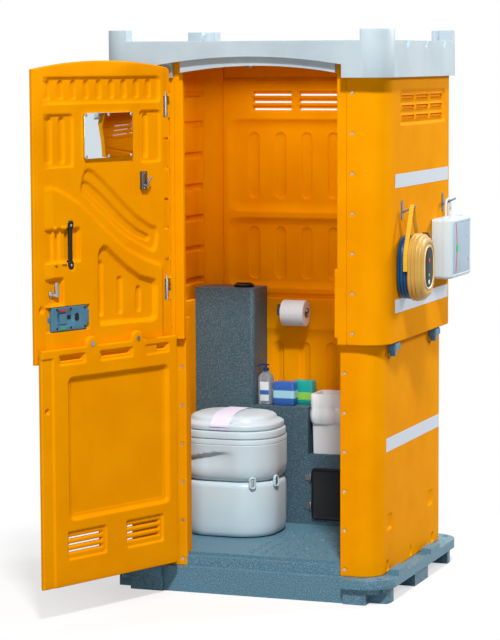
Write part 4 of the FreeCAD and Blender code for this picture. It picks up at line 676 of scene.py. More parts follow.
def spline(points: Sequence[Sequence[float]], count: int = 32) -> Array:
    """Samples a uniform cubic B-spline that starts and ends at its first and last control points.

    Each sample is the sum of four neighbouring points times (1-f)^3, 3f^3-6f^2+4, -3f^3+3f^2+3f+1 and f^3, over 6.

    Args:
        points: Control points.
        count: Number of samples.
    Returns:
        The samples, one row each.
    """
    hull = np.asarray(points, float)
    hull = np.concatenate([hull[:1], hull[:1], hull, hull[-1:], hull[-1:]])
    along = np.linspace(0, len(hull) - 3, count)
    first = np.minimum(along.astype(int), len(hull) - 4)
    f = (along - first)[:, None]
    weights = ((1 - f) ** 3, 3 * f ** 3 - 6 * f ** 2 + 4, -3 * f ** 3 + 3 * f ** 2 + 3 * f + 1, f ** 3)
    return sum(weight * hull[first + k] for k, weight in enumerate(weights)) / 6


def sweep(name: str, path: Array, section: Array, seat: Seat = Seat(), up: Sequence[float] = (0, 0, 1),
          closed: bool = False, smooth_deg: float = 40) -> Piece:
    """Carries a closed section along a path.

    At each path point the section's axes are the side vector (up crossed with the run) and the run crossed
    with it, so point = path + side * a + rise * b.

    Args:
        name: Piece name.
        path: Path points in local millimetres.
        section: Section points, anticlockwise seen against the run.
        seat: Local axes.
        up: Direction that the section's second axis leans to.
        closed: Whether the path is a loop.
        smooth_deg: Shading angle.
    Returns:
        The piece.
    """
    path = np.asarray(path, float)
    run = np.roll(path, -1, 0) - np.roll(path, 1, 0) if closed else np.gradient(path, axis=0)
    run /= np.linalg.norm(run, axis=1, keepdims=True)
    side = np.cross(np.asarray(up, float)[None], run)
    side /= np.linalg.norm(side, axis=1, keepdims=True)
    rise = np.cross(run, side)
    section = np.asarray(section, float)
    points = path[:, None] + side[:, None] * section[None, :, :1] + rise[:, None] * section[None, :, 1:]
    rows, count = points.shape[:2]
    quads = ring_quads(rows, count)[:, ::-1]
    faces = [quads]
    if closed:
        seam = np.arange(count)
        after = (seam + 1) % count
        last = (rows - 1) * count
        faces.append(np.stack([last + seam, seam, after, last + after], axis=1))
    else:
        faces += [np.arange(count)[None], (np.arange(count)[::-1] + (rows - 1) * count)[None]]
    return mesh_piece(name, seat.place(points.reshape(-1, 3)), faces, smooth_deg)


def round_section(radius: float, count: int = 16, flat: float = 1.0) -> Array:
    """Circle, or an ellipse where flat isn't 1, as a closed section."""
    turn = np.arange(count) * 2 * math.pi / count
    return np.stack([radius * np.cos(turn), radius * flat * np.sin(turn)], axis=1)


def bar_section(wide: float, thick: float, edge: float, steps: int = 4) -> Array:
    """Flat bar with rounded corners as a closed section."""
    centres, normals = Plan(wide / 2, thick / 2, edge, steps).parts()
    return centres + normals * edge


@dataclass(frozen=True)
class Patch:
    """Rounded rectangle on a wall, by its limits along the wall and in height."""

    left: float
    right: float
    low: float
    high: float
    radius: float = 0.0

    def distance(self, u: Array, z: Array) -> Array:
        """Distance outside the outline, negative inside: box distance with the radius taken off."""
        half_u, half_z = (self.right - self.left) / 2, (self.high - self.low) / 2
        radius = min(self.radius, half_u, half_z)
        du = np.abs(u - (self.left + self.right) / 2) - half_u + radius
        dz = np.abs(z - (self.low + self.high) / 2) - half_z + radius
        return np.hypot(np.maximum(du, 0), np.maximum(dz, 0)) + np.minimum(np.maximum(du, dz), 0) - radius

    def marks(self) -> tuple[list[float], list[float]]:
        """Places along the wall and up it where grid lines gather."""
        return [self.left, self.right], [self.low, self.high]


@dataclass(frozen=True)
class Outline:
    """Free outline on a wall as a polygon."""

    points: tuple[tuple[float, float], ...]

    def distance(self, u: Array, z: Array) -> Array:
        """Distance to the nearest side, negative inside by the crossing rule."""
        best = np.full(np.broadcast(u, z).shape, 1e18)
        inside = np.zeros(best.shape, bool)
        for (a, b), (c, d) in zip(self.points, self.points[1:] + self.points[:1]):
            along = np.clip(((u - a) * (c - a) + (z - b) * (d - b)) / ((c - a) ** 2 + (d - b) ** 2), 0, 1)
            best = np.minimum(best, (u - a - along * (c - a)) ** 2 + (z - b - along * (d - b)) ** 2)
            if b != d:
                inside ^= ((z >= b) != (z >= d)) & (u < (c - a) * (z - b) / (d - b) + a)
        return np.where(inside, -1, 1) * np.sqrt(best)

    def marks(self) -> tuple[list[float], list[float]]:
        """No gathered lines: a free outline needs an even grid."""
        return [], []


@dataclass(frozen=True)
class Press:
    """Area of a wall that is pressed in, or stands out where its depth is negative."""

    area: Patch | Outline
    depth: float
    soft: float = 7.0

    def sink(self, u: Array, z: Array) -> Array:
        """Depth below the face: the full depth inside, easing to nothing over the soft width at the outline."""
        share = np.clip(-self.area.distance(u, z) / self.soft, 0, 1)
        return self.depth * share * share * (3 - 2 * share)


def grid_lines(low: float, high: float, marks: Sequence[float], soft: float, coarse: float) -> Array:
    """Grid lines from low to high, gathered at the marks and no further apart than coarse.

    Args:
        low: First line.
        high: Last line.
        marks: Places with detail.
        soft: Half width of a gathering.
        coarse: Widest gap.
    Returns:
        Sorted places of the lines, at least 1.6 apart.
    """
    shares = np.array([-1, -0.6, -0.2, 0.2, 0.6, 1])
    places = np.concatenate([[low, high], (np.asarray(list(marks) or [low])[:, None] + shares * soft).ravel()])
    places = np.unique(np.clip(places, low, high))
    gaps = np.diff(places)
    counts = np.maximum(np.ceil(gaps / coarse).astype(int), 1)
    filled = np.concatenate([np.linspace(a, b, n, endpoint=False)
                             for a, b, n in zip(places[:-1], places[1:], counts)] + [[high]])
    keep = np.concatenate([[True], np.diff(filled) > 1.6])
    keep[-1] = True
    return filled[keep]


class Track:
    """Line of a wall in plan, with its outward normals, by length along it."""

    def __init__(self, points: Array, normals: Array) -> None:
        """Keeps the line's points and normals and works out the lengths."""
        self.points, self.normals = np.asarray(points, float), np.asarray(normals, float)
        steps = np.linalg.norm(np.diff(self.points, axis=0), axis=1)
        self.lengths = np.concatenate([[0], np.cumsum(steps)])

    @staticmethod
    def straight(start: Sequence[float], end: Sequence[float], side: int = 1) -> "Track":
        """Straight line.

        Args:
            start: First point.
            end: Last point.
            side: 1 where the outward side is on the line's right, -1 where it is on its left.
        Returns:
            The line.
        """
        a, b = np.array(start, float), np.array(end, float)
        run = (b - a) / np.linalg.norm(b - a)
        normal = np.array([run[1], -run[0]]) * side
        return Track(np.stack([a, b]), np.stack([normal, normal]))

    @staticmethod
    def wrapped(side: int, half_x: float, half_y: float, door_edge: float, seam: float, corner: float) -> "Track":
        """Side wall's outer line: from the doorway round the front corner, back, and round to the rear seam.

        Args:
            side: 1 for the right wall, -1 for the left.
            half_x: Distance of the side face from the middle.
            half_y: Distance of the front and rear faces from the middle.
            door_edge: Where it starts at the doorway, from the middle.
            seam: Where it ends on the back wall.
            corner: Radius of both corners.
        Returns:
            The line, as seen on the right side, mirrored for the left.
        """
        turn = np.linspace(0, math.pi / 2, 17)
        front = np.stack([half_x - corner + corner * np.sin(turn), -half_y + corner - corner * np.cos(turn)], axis=1)
        rear = np.stack([half_x - corner + corner * np.cos(turn), half_y - corner + corner * np.sin(turn)], axis=1)
        points = np.concatenate([[[door_edge, -half_y]], front, rear, [[seam, half_y]]])
        normals = np.concatenate([[[0, -1]], np.stack([np.sin(turn), -np.cos(turn)], axis=1),
                                  np.stack([np.cos(turn), np.sin(turn)], axis=1), [[0, 1]]])
        mirror = np.array([side, 1.0])
        return Track(points * mirror, normals * mirror)

    def at(self, u: Array) -> tuple[Array, Array]:
        """Points and unit normals at the given lengths."""
        point = np.stack([np.interp(u, self.lengths, self.points[:, k]) for k in (0, 1)], axis=-1)
        normal = np.stack([np.interp(u, self.lengths, self.normals[:, k]) for k in (0, 1)], axis=-1)
        return point, normal / np.linalg.norm(normal, axis=-1, keepdims=True)

    @property
    def total(self) -> float:
        """Whole length."""
        return float(self.lengths[-1])


@dataclass
class Panel:
    """Moulded wall or door leaf: two relief faces over a grid, joined at the rim and round every opening."""

    name: str
    track: Track
    low: float
    high: float
    thick: float
    outer: Sequence[Press] = ()
    inner: Sequence[Press] = ()
    openings: Sequence[Patch] = ()
    start: float = 0.0
    edge: float = 4.0
    soft: float = 8.0
    coarse_u: float = 40.0
    coarse_z: float = 40.0
    fine_z: Optional[tuple[float, float, float]] = None
    head: Optional[Callable[[Array], Array]] = None
    head_from: float = 0.0
    flip: bool = False

    def lines(self) -> tuple[Array, Array]:
        """Grid lines along the wall and up it, gathered at the reliefs, openings, corners and rims."""
        marks_u, marks_z = list(self.start + self.track.lengths), []
        for area in [p.area for p in [*self.outer, *self.inner]]:
            along, up = area.marks()
            marks_u += along
            marks_z += up
        end = self.start + self.track.total
        u = grid_lines(self.start, end, marks_u, self.soft, self.coarse_u)
        z = grid_lines(self.low, self.high, marks_z, self.soft, self.coarse_z)
        if self.fine_z:
            low, high, step = self.fine_z
            z = np.concatenate([z[(z < low) | (z > high)], np.arange(low, high, step)])
        rim = np.array([0, 0.12, 0.35, 0.65, 1.0]) * self.edge
        cuts_u = [x for gap in self.openings for x in (gap.left, gap.right)]
        cuts_z = [x for gap in self.openings for x in (gap.low, gap.high)]
        return (self._with(u, np.concatenate([self.start + rim, end - rim, cuts_u])),
                self._with(z, np.concatenate([self.low + rim, self.high - rim, cuts_z])))

    @staticmethod
    def _with(lines: Array, exact: Array) -> Array:
        """Puts exact lines into a grid and drops its lines that lie close to them."""
        exact = np.unique(np.round(exact, 4))
        near = np.abs(lines[:, None] - exact[None]).min(axis=1) < 0.9
        return np.sort(np.concatenate([lines[~near], exact]))

    def rim_inset(self, u: Array, z: Array) -> Array:
        """How far both faces draw in at the rim: radius less root of radius squared less the shortfall squared."""
        end = self.start + self.track.total
        near = np.minimum(np.minimum(u - self.start, end - u), np.minimum(z - self.low, self.high - z))
        short = np.clip(self.edge - near, 0, self.edge)
        return self.edge - np.sqrt(np.maximum(self.edge ** 2 - short ** 2, 0))

    def build(self) -> Piece:
        """Makes the wall.

        A point of a face is the track's point less its normal times the depth, where the outer face's depth is
        its reliefs plus the rim inset, and the inner face's is the thickness less its own.
        """
        lines_u, lines_z = self.lines()
        u, z = np.meshgrid(lines_u, lines_z, indexing="ij")
        point, normal = self.track.at(u - self.start)
        inset = self.rim_inset(u, z)
        front = inset + sum((press.sink(u, z) for press in self.outer), np.zeros_like(u))
        back = self.thick - inset - sum((press.sink(u, z) for press in self.inner), np.zeros_like(u))
        tall = z
        if self.head is not None:
            share = np.clip((z - self.head_from) / (self.high - self.head_from), 0, 1)
            tall = np.where(share > 0, self.head_from + share * (self.head(u) - self.head_from), z)
        faces = [np.concatenate([point - normal * depth[..., None], tall[..., None]], axis=-1)
                 for depth in (front, back)]
        points = np.concatenate([face.reshape(-1, 3) for face in faces])
        kept = self._kept(lines_u, lines_z)
        quads = self._skin(kept, u.shape)
        if self.flip:
            quads = quads[:, ::-1]
        return mesh_piece(self.name, points, [quads])

    def _kept(self, lines_u: Array, lines_z: Array) -> Array:
        """Cells that lie in no opening."""
        mid_u, mid_z = [(line[:-1] + line[1:]) / 2 for line in (lines_u, lines_z)]
        kept = np.ones((len(mid_u), len(mid_z)), bool)
        for gap in self.openings:
            kept &= ~(((mid_u > gap.left) & (mid_u < gap.right))[:, None]
                      & ((mid_z > gap.low) & (mid_z < gap.high))[None])
        return kept

    @staticmethod
    def _skin(kept: Array, shape: tuple[int, int]) -> Array:
        """Quads of both faces and of the walls wherever a kept cell borders a missing one."""
        rows, columns = shape
        number = np.arange(rows * columns).reshape(rows, columns)
        far = number + rows * columns
        i, j = np.nonzero(kept)
        blocks = [np.stack([number[i, j], number[i + 1, j], number[i + 1, j + 1], number[i, j + 1]], axis=1),
                  np.stack([far[i, j], far[i, j + 1], far[i + 1, j + 1], far[i + 1, j]], axis=1)]
        padded = np.pad(kept, 1)
        for di, dj, corners in ((-1, 0, ((0, 0), (0, 1))), (1, 0, ((1, 1), (1, 0))),
                                (0, -1, ((1, 0), (0, 0))), (0, 1, ((0, 1), (1, 1)))):
            bare = kept & ~padded[1 + di:rows + di, 1 + dj:columns + dj]
            i, j = np.nonzero(bare)
            (a, b), (c, d) = corners
            blocks.append(np.stack([number[i + a, j + b], number[i + c, j + d],
                                    far[i + c, j + d], far[i + a, j + b]], axis=1))
        return np.concatenate(blocks)


def dress(made: Piece, finish: Finish, body: str, slot: str, *nodes: str) -> Piece:
    """Dresses a piece and makes it ride on its body.

    Args:
        made: The piece.
        finish: Its finish.
        body: Body that it rides on.
        slot: Material slot of the record; not used.
        nodes: Solid nodes that it stands for.
    Returns:
        The piece.
    """
    made.data.materials.clear()
    made.data.materials.append(finish.material())
    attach(made, body)
    if nodes:
        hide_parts(*nodes)
    LOG.info("%s: %d faces, on %s", made.name, len(made.data.polygons), body)
    return made


def dress_node(name: str, finish: Finish, bevel_mm: float = 1.0, segments: int = 2) -> None:
    """Keeps a solid node: welds it, softens its edges and gives it a finish.

    Args:
        name: Node name.
        finish: Its finish.
        bevel_mm: Width of the softened edges.
        segments: Steps of each softened edge.
    """
    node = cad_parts[name]
    weld = node.modifiers.new("Weld", "WELD")
    weld.merge_threshold = 0.00002
    if bevel_mm:
        bevel = node.modifiers.new("Soft edges", "BEVEL")
        bevel.width = bevel_mm * MM
        bevel.segments = segments
        bevel.limit_method = "ANGLE"
        bevel.angle_limit = math.radians(40)
        bevel.harden_normals = False
    for index in range(max(len(node.data.materials), 1)):
        if index < len(node.data.materials):
            node.data.materials[index] = finish.material()
        else:
            node.data.materials.append(finish.material())
    LOG.info("%s: kept", name)


def capsules(places: Sequence[float], wide: float, low: float, high: float, depth: float, soft: float = 6
             ) -> list[Press]:
    """Upright round-ended pockets at the given places."""
    return [Press(Patch(x - wide / 2, x + wide / 2, low, high, wide / 2), depth, soft) for x in places]


@dataclass
class Leaf:
    """Half of the open door, placed along the leaf from the hinge, up it and through it."""

    foot: float
    top: float
    thick: float
    outer_at: float
    left: float = -24
    right: float = 698

    def head(self, u: Array) -> Array:
        """Height of the head along the leaf."""
        raise NotImplementedError

    def panel(self, name: str, **options: Any) -> Panel:
        """Panel of the leaf on its outer line.

        Args:
            name: Piece name.
            options: Further fields of the panel.
        Returns:
            The panel.
        """
        start, end = HINGE.place([[self.left, self.outer_at, 0], [self.right, self.outer_at, 0]])[:, :2]
        return Panel(name, Track.straight(start, end), self.foot, self.top, self.thick, start=self.left,
                     head=self.head, flip=True, **options)


@dataclass
class UpperLeaf(Leaf):
    """Upper half of the door with an arched head and its pressed inner face."""

    foot: float = 951
    top: float = 2022
    thick: float = 28
    outer_at: float = -12
    rise: float = 30
    field_deep: float = 10
    irons: tuple[float, float] = (1142, 1837)
    knuckles: tuple[tuple[float, float, float], ...] = (
        (1646, 1756, 5), (1415, 1527, 5), (1225, 1296, 5), (1919, 2060, 3), (1756, 1836, -13), (1527, 1646, -13),
        (1296, 1415, -13), (951, 1142, -13))
    swoosh: tuple[tuple[float, float], ...] = (
        (55, 1425), (95, 1437), (157, 1471), (220, 1517), (282, 1569), (345, 1619), (390, 1650), (420, 1660),
        (442, 1650), (456, 1620), (466, 1580), (457, 1561), (407, 1521), (345, 1477), (282, 1427), (220, 1387),
        (157, 1359), (100, 1332), (78, 1327), (62, 1336), (52, 1360), (46, 1402))
    groove: tuple[tuple[float, float], ...] = (
        (88, 1388), (95, 1396), (157, 1423), (220, 1463), (282, 1513), (345, 1563), (407, 1605), (430, 1614),
        (446, 1606), (448, 1592), (441, 1581), (407, 1554), (345, 1510), (282, 1460), (220, 1417), (157, 1385),
        (107, 1369), (92, 1374))
    ridge: tuple[tuple[float, float], ...] = (
        (24, 960), (24, 1268), (39, 1288), (95, 1304), (157, 1328), (220, 1356), (282, 1398), (345, 1444),
        (407, 1494), (470, 1540), (554, 1584), (605, 1602), (629, 1606), (641, 1594), (641, 960))
    delta: tuple[tuple[float, float], ...] = (
        (74, 1227), (157, 1249), (220, 1286), (282, 1330), (332, 1369), (354, 1374), (380, 1355), (386, 1334),
        (386, 1094), (379, 1069), (95, 1065), (67, 1077), (64, 1202))

    def head(self, u: Array) -> Array:
        """Height of the arched head: a circle through both ends and the middle."""
        half, middle = (self.right - self.left) / 2, (self.left + self.right) / 2
        radius = (half * half + self.rise * self.rise) / (2 * self.rise)
        return self.top + self.rise - radius + np.sqrt(radius * radius - (u - middle) ** 2)

    def mouldings(self) -> list[Press]:
        """The sunk field with its raised ridge, then ribs, sweeps and pockets from the head down."""
        return [Press(Patch(-60, 900, 800, 2200), self.field_deep, 1),
                Press(Outline(self.ridge), -self.field_deep, 20),
                Press(Patch(32, 641, 1892, 1996, 24), 7, 8), Press(Patch(43, 632, 1902, 1989, 18), 2, 3),
                *capsules([91 + 65.75 * k for k in range(9)], 32, 1909, 1983, 7, 7),
                Press(Patch(32, 151, 1667, 1867, 20), 8, 9), *capsules([110], 33, 1685, 1856, 8, 7),
                Press(Patch(492, 641, 1662, 1862, 20), 8, 9), *capsules([547, 610], 33, 1679, 1851, 8, 7),
                Press(Outline(self.swoosh), 9, 15), Press(Outline(self.groove), 7, 8),
                Press(Outline(self.delta), 15, 18), *capsules([157], 32, 1105, 1206, 8, 7),
                *capsules([257], 32, 1105, 1250, 8, 7), *capsules([358], 32, 1104, 1313, 8, 7)]

    def seats(self) -> list[Press]:
        """Seats of the handle, the lever and the lock, a round bolt sink and the strip along the free edge."""
        return [Press(Patch(472, 645, 1315, 1444, 10), 16, 9), Press(Patch(503, 539, 1288, 1472, 17), 5, 4),
                Press(Patch(545, 574, 1308, 1450, 4), -7, 5), Press(Patch(593, 611, 1308, 1450, 4), -9, 5),
                Press(Patch(560, 646, 1161, 1263, 7), 17, 6), Press(Patch(430, 624, 1065, 1159, 4), 18, 3),
                Press(Patch(655, 679, 1138, 1162, 12), 5, 4), Press(Patch(661, 673, 1144, 1156, 6), 8, 3),
                Press(Patch(679, 720, 900, 2200, 2), 1, 4)]

    def hinge_marks(self) -> list[Press]:
        """Beside each hinge knuckle the edge steps down, with a groove along it and a notch at its foot."""
        made = []
        for low, high, at in self.knuckles:
            made += [Press(Patch(-60, at, low, high, 2), 6, 2.5),
                     Press(Patch(at - 3.5, at + 3.5, low, high, 1), 10, 2),
                     Press(Patch(-16, 8, low - 3, low + 3, 1), 6, 2)]
        return made

    def build(self) -> None:
        """Makes the leaf, with notches for the hinge irons."""
        notches = [Patch(self.left - 1, 18, low - 1, low + 81) for low in self.irons]
        panel = self.panel("upper_leaf_moulding", inner=self.mouldings() + self.seats() + self.hinge_marks(),
                           openings=notches, soft=9, coarse_u=6, coarse_z=20, fine_z=(1045, 1680, 6), head_from=2004)
        dress(panel.build(), SHELL, "upper_leaf", "orange_shell", "upper_door")


@dataclass
class LowerLeaf(Leaf):
    """Lower half of the door: a sunk field, two small louvres, hand slots at its head and two bolt ears."""

    foot: float = 125
    top: float = 1005
    thick: float = 22
    outer_at: float = 18
    ears: tuple[float, float] = (200, 441)
    ear_radius: float = 28
    ear_mid: float = 1013
    louvres: tuple[float, float] = (67, 374)
    slot_lows: tuple[float, float, float] = (246, 271, 296)
    hand_slots: tuple[tuple[float, float], ...] = ((42, 149), (239, 391), (489, 601))

    def head(self, u: Array) -> Array:
        """Head height: level, with a half round of the ear's radius over each bolt."""
        tall = np.full(u.shape, self.top)
        for middle in self.ears:
            tall = np.maximum(tall, self.ear_mid + np.sqrt(np.maximum(self.ear_radius ** 2 - (u - middle) ** 2, 0))
                              - np.where(np.abs(u - middle) > self.ear_radius, 1e3, 0))
        return tall

    def mouldings(self) -> list[Press]:
        """The sunk field, the louvres, the hand slots, the free edge with its bolt sink, and the hinge edge."""
        made = [Press(Patch(31, 571, 362, 901, 28), 13, 17), Press(Patch(53, 549, 385, 879, 16), 2, 4)]
        for x in self.louvres:
            made.append(Press(Patch(x, x + 206, 217, 329, 14), 7, 8))
            made += [Press(Patch(x + 16, x + 200, low - 4, low + 11, 4), 4, 4) for low in self.slot_lows]
        for left, right in self.hand_slots:
            made += [Press(Patch(left - 14, right + 14, 943, 985, 10), 6, 8),
                     Press(Patch(left, right, 958, 977, 5), 12, 3)]
        return made + [Press(Patch(640, 720, 60, 977, 2), 5, 7), Press(Patch(658, 682, 769, 793, 12), 5, 4),
                       Press(Patch(664, 676, 775, 787, 6), 7, 3), Press(Patch(-60, -9, 60, 1100, 2), 12, 14)]

    def build(self) -> None:
        """Makes the leaf; a pocket in its outer face lets the coat hook pass when the upper half is lowered."""
        slots = [Patch(x + 24, x + 192, low, low + 9) for x in self.louvres for low in self.slot_lows]
        hook_room = Press(Patch(92, 162, 910, 1100), 18, 2)
        panel = self.panel("lower_leaf_moulding", outer=[hook_room], inner=self.mouldings(), openings=slots,
                           coarse_u=10, coarse_z=30, head_from=984)
        dress(panel.build(), SHELL, "lower_leaf", "orange_shell", "lower_door")


@dataclass
class Walls:
    """Side and back walls of both sections."""

    wall: float = 20
    middle: float = -21
    rib_pitch: float = 115.6
    screw_pitch: float = 150
    grooves: tuple[tuple[float, float], ...] = (
        (1897, 1925), (1772, 1800), (1640, 1672), (1510, 1540), (1382, 1410), (1255, 1282), (1120, 1150))

    def rear_vents(self) -> list[tuple[float, float]]:
        """Middle and foot of each of the back wall's nine slots."""
        return [(self.middle + 202 * column, low) for column in (-1, 0, 1) for low in (1843, 1873, 1903)]

    def side_vents(self) -> list[tuple[float, float]]:
        """Middle of each of the right wall's nine slots, from the front and up."""
        return [(21 + 192 * column, 1870 + 38 * row) for column in (-1, 0, 1) for row in (-1, 0, 1)]

    def pressed(self, low: float, high: float, deep: float, inset: float = 48) -> list[Press]:
        """A wide sunk panel with six round-ended ribs pressed into it in two steps.

        Args:
            low: Foot of the panel.
            high: Its head.
            deep: Its depth.
            inset: How far the ribs end short of it.
        Returns:
            The reliefs.
        """
        ribs = [self.middle + self.rib_pitch * (k - 2.5) for k in range(6)]
        return [Press(Patch(self.middle - 402, self.middle + 402, low - 9, high + 9, 55), deep, 24),
                *capsules(ribs, 48, low + inset, high - inset, 6, 6),
                *capsules(ribs, 20, low + inset + 14, high - inset - 14, 3, 4)]

    def back(self, name: str, node: str, body: str, seam: float, half_y: float, low: float, high: float,
             inner: Sequence[Press], openings: Sequence[Patch] = ()) -> None:
        """Makes one back wall; positions along it are the distance from the middle.

        Args:
            name: Piece name.
            node: Solid node that it stands for.
            body: Body that it rides on.
            seam: Distance of its ends from the middle.
            half_y: Distance of its outer face from the middle.
            low: Foot.
            high: Head.
            inner: Reliefs of the inner face.
            openings: Vent slots.
        """
        panel = Panel(name, Track.straight((-seam, half_y), (seam, half_y), -1), low, high, self.wall, inner=inner,
                      openings=openings, start=-seam, soft=10, coarse_u=30, coarse_z=30, flip=True)
        dress(panel.build(), SHELL, body, "orange_shell", node)

    def dimples(self, column: float, first: float, count: int) -> list[Press]:
        """Round sinks of a column of screws beside the doorway."""
        return [Press(Patch(column - 8.5, column + 8.5, z - 8.5, z + 8.5, 8.5), 2.6, 1.2)
                for z in [first + self.screw_pitch * k for k in range(count)]]

    def upper_reliefs(self, side: int, zero: float) -> tuple[list[Press], list[Press], list[Patch]]:
        """Reliefs of an upper side wall: grooves and a seam inside, and outside the right wall's vent.

        Args:
            side: 1 for the right wall, -1 for the left.
            zero: Place along the wall of the middle of its side face.
        Returns:
            Outer reliefs, inner reliefs and openings.
        """
        inner = [Press(Patch(zero - 372, zero + 434, low, high, 4), 12, 6) for low, high in self.grooves]
        inner.append(Press(Patch(zero + 442, zero + 446, 985, 2005, 1), 6, 1.8))
        outer, openings = self.dimples(23.7, 1028, 7), []
        if side > 0:
            outer.append(Press(Patch(zero - 290, zero + 332, 1801, 1939, 20), 7, 12))
            for y, z in self.side_vents():
                openings.append(Patch(zero + y - 82.5, zero + y + 82.5, z - 8, z + 8))
                outer.append(Press(Patch(zero + y - 90, zero + y + 90, z - 14, z + 14, 4), -3, 5))
        return outer, inner, openings

    def lower_reliefs(self, zero: float) -> tuple[list[Press], list[Press], list[Patch]]:
        """Reliefs of a lower side wall: lashing pockets, latch pockets and drain marks.

        Args:
            zero: Place along the wall of the middle of its side face.
        Returns:
            Outer reliefs, inner reliefs and openings.
        """
        outer = self.dimples(18, 124, 6)
        for y in (-302, 250):
            left, right = zero + y - 31, zero + y + 31
            outer += [Press(Patch(left, right, 262, 324, 6), 4, 4),
                      Press(Outline(((left + 2, 264), (right - 2, 264), (right - 2, 322))), 8, 16),
                      Press(Patch(left + 5, right - 5, 925, 968, 5), 7, 4)]
        outer += [Press(Patch(zero + y - 11, zero + y + 11, 104, 148, 11), 8, 4) for y in (-329, -19, 291)]
        return outer, [], []

    def side(self, side: int, word: str, upper: bool) -> None:
        """Makes one side wall; positions along it run from the doorway.

        Args:
            side: 1 for the right wall, -1 for the left.
            word: Name of the side.
            upper: Whether it belongs to the upper section.
        """
        half_x, half_y, corner = (552.5, 474.5, 100) if upper else (518.5, 449, 86)
        door_edge = {(1, True): 399, (-1, True): 291, (1, False): 366, (-1, False): 258}[(side, upper)]
        track = Track.wrapped(side, half_x, half_y, door_edge, half_x - corner - 10, corner)
        zero = half_x - corner - door_edge + corner * math.pi / 2 + half_y - corner
        outer, inner, openings = self.upper_reliefs(side, zero) if upper else self.lower_reliefs(zero)
        low, high = (985, 2100) if upper else (98, 1065)
        half, body = ("upper", "upper_section") if upper else ("lower", "base_section")
        panel = Panel("%s_side_%s" % (half, word), track, low, high, self.wall, outer=outer, inner=inner,
                      openings=openings, edge=3.5, soft=7, coarse_u=60, coarse_z=60, flip=side < 0)
        dress(panel.build(), SHELL, body, "orange_shell", "%s_wall_%s" % (half, word))

    def build(self) -> None:
        """Makes all six walls and the vents' blades."""
        slots = [Patch(x - 83.5, x + 83.5, low, low + 18) for x, low in self.rear_vents()]
        lips = [Press(Patch(gap.left - 9, gap.right + 9, gap.low - 5, gap.high + 5, 6), 3, 4) for gap in slots]
        lips += [Press(Patch(-700, 700, 1972, 2300, 2), 8, 6), Press(Patch(-700, 700, 1078, 1970, 2), -4.5, 6)]
        self.back("upper_back", "upper_wall_back", "upper_section", 442.5, 474.5, 985, 2100,
                  [*self.pressed(1428, 1800, 17), *self.pressed(1110, 1390, 17, 30), *lips], slots)
        self.back("lower_back", "lower_wall_back", "base_section", 422.5, 449, 98, 1065, self.pressed(206, 931, 8))
        for side, word in ((1, "right"), (-1, "left")):
            self.side(side, word, True)
            self.side(side, word, False)
        self.blades()
        self.header_bolts()

    def blades(self) -> None:
        """Slanted blades that cover the upper part of every vent slot, so that rain stays out."""
        tilt, rise = math.sin(math.radians(30)), math.cos(math.radians(30))
        rear = [Seat((x, 466, low + 12.5), (1, 0, 0), (0, tilt, rise), (0, -rise, tilt))
                for x, low in self.rear_vents()]
        dress(plate(83.4, 6.6, 0.5, 2.2, 0.4).piece("vent_blades_back", *rear), SHELL, "upper_section",
              "orange_shell")
        right = [Seat((540, y, z + 2), (0, 1, 0), (-tilt, 0, rise), (rise, 0, tilt)) for y, z in self.side_vents()]
        dress(plate(82.4, 7, 0.5, 2.2, 0.4).piece("vent_blades_side", *right), SHELL, "upper_section",
              "orange_shell")

    def header_bolts(self) -> None:
        """Two dome bolts with washers in the header over the doorway."""
        dome = Lathe(Plan(15, 15, 15, 8), [(0, -1), (0, 1.5), (3, 3), (5, 3.4), (5.5, 5), (8, 7.5), (12, 9)])
        bolts = [facing_front(x, 447, 2030) for x in (-325, -26)]
        dress(dome.piece("header_bolts", *bolts), STEEL, "upper_section", "screw_steel")


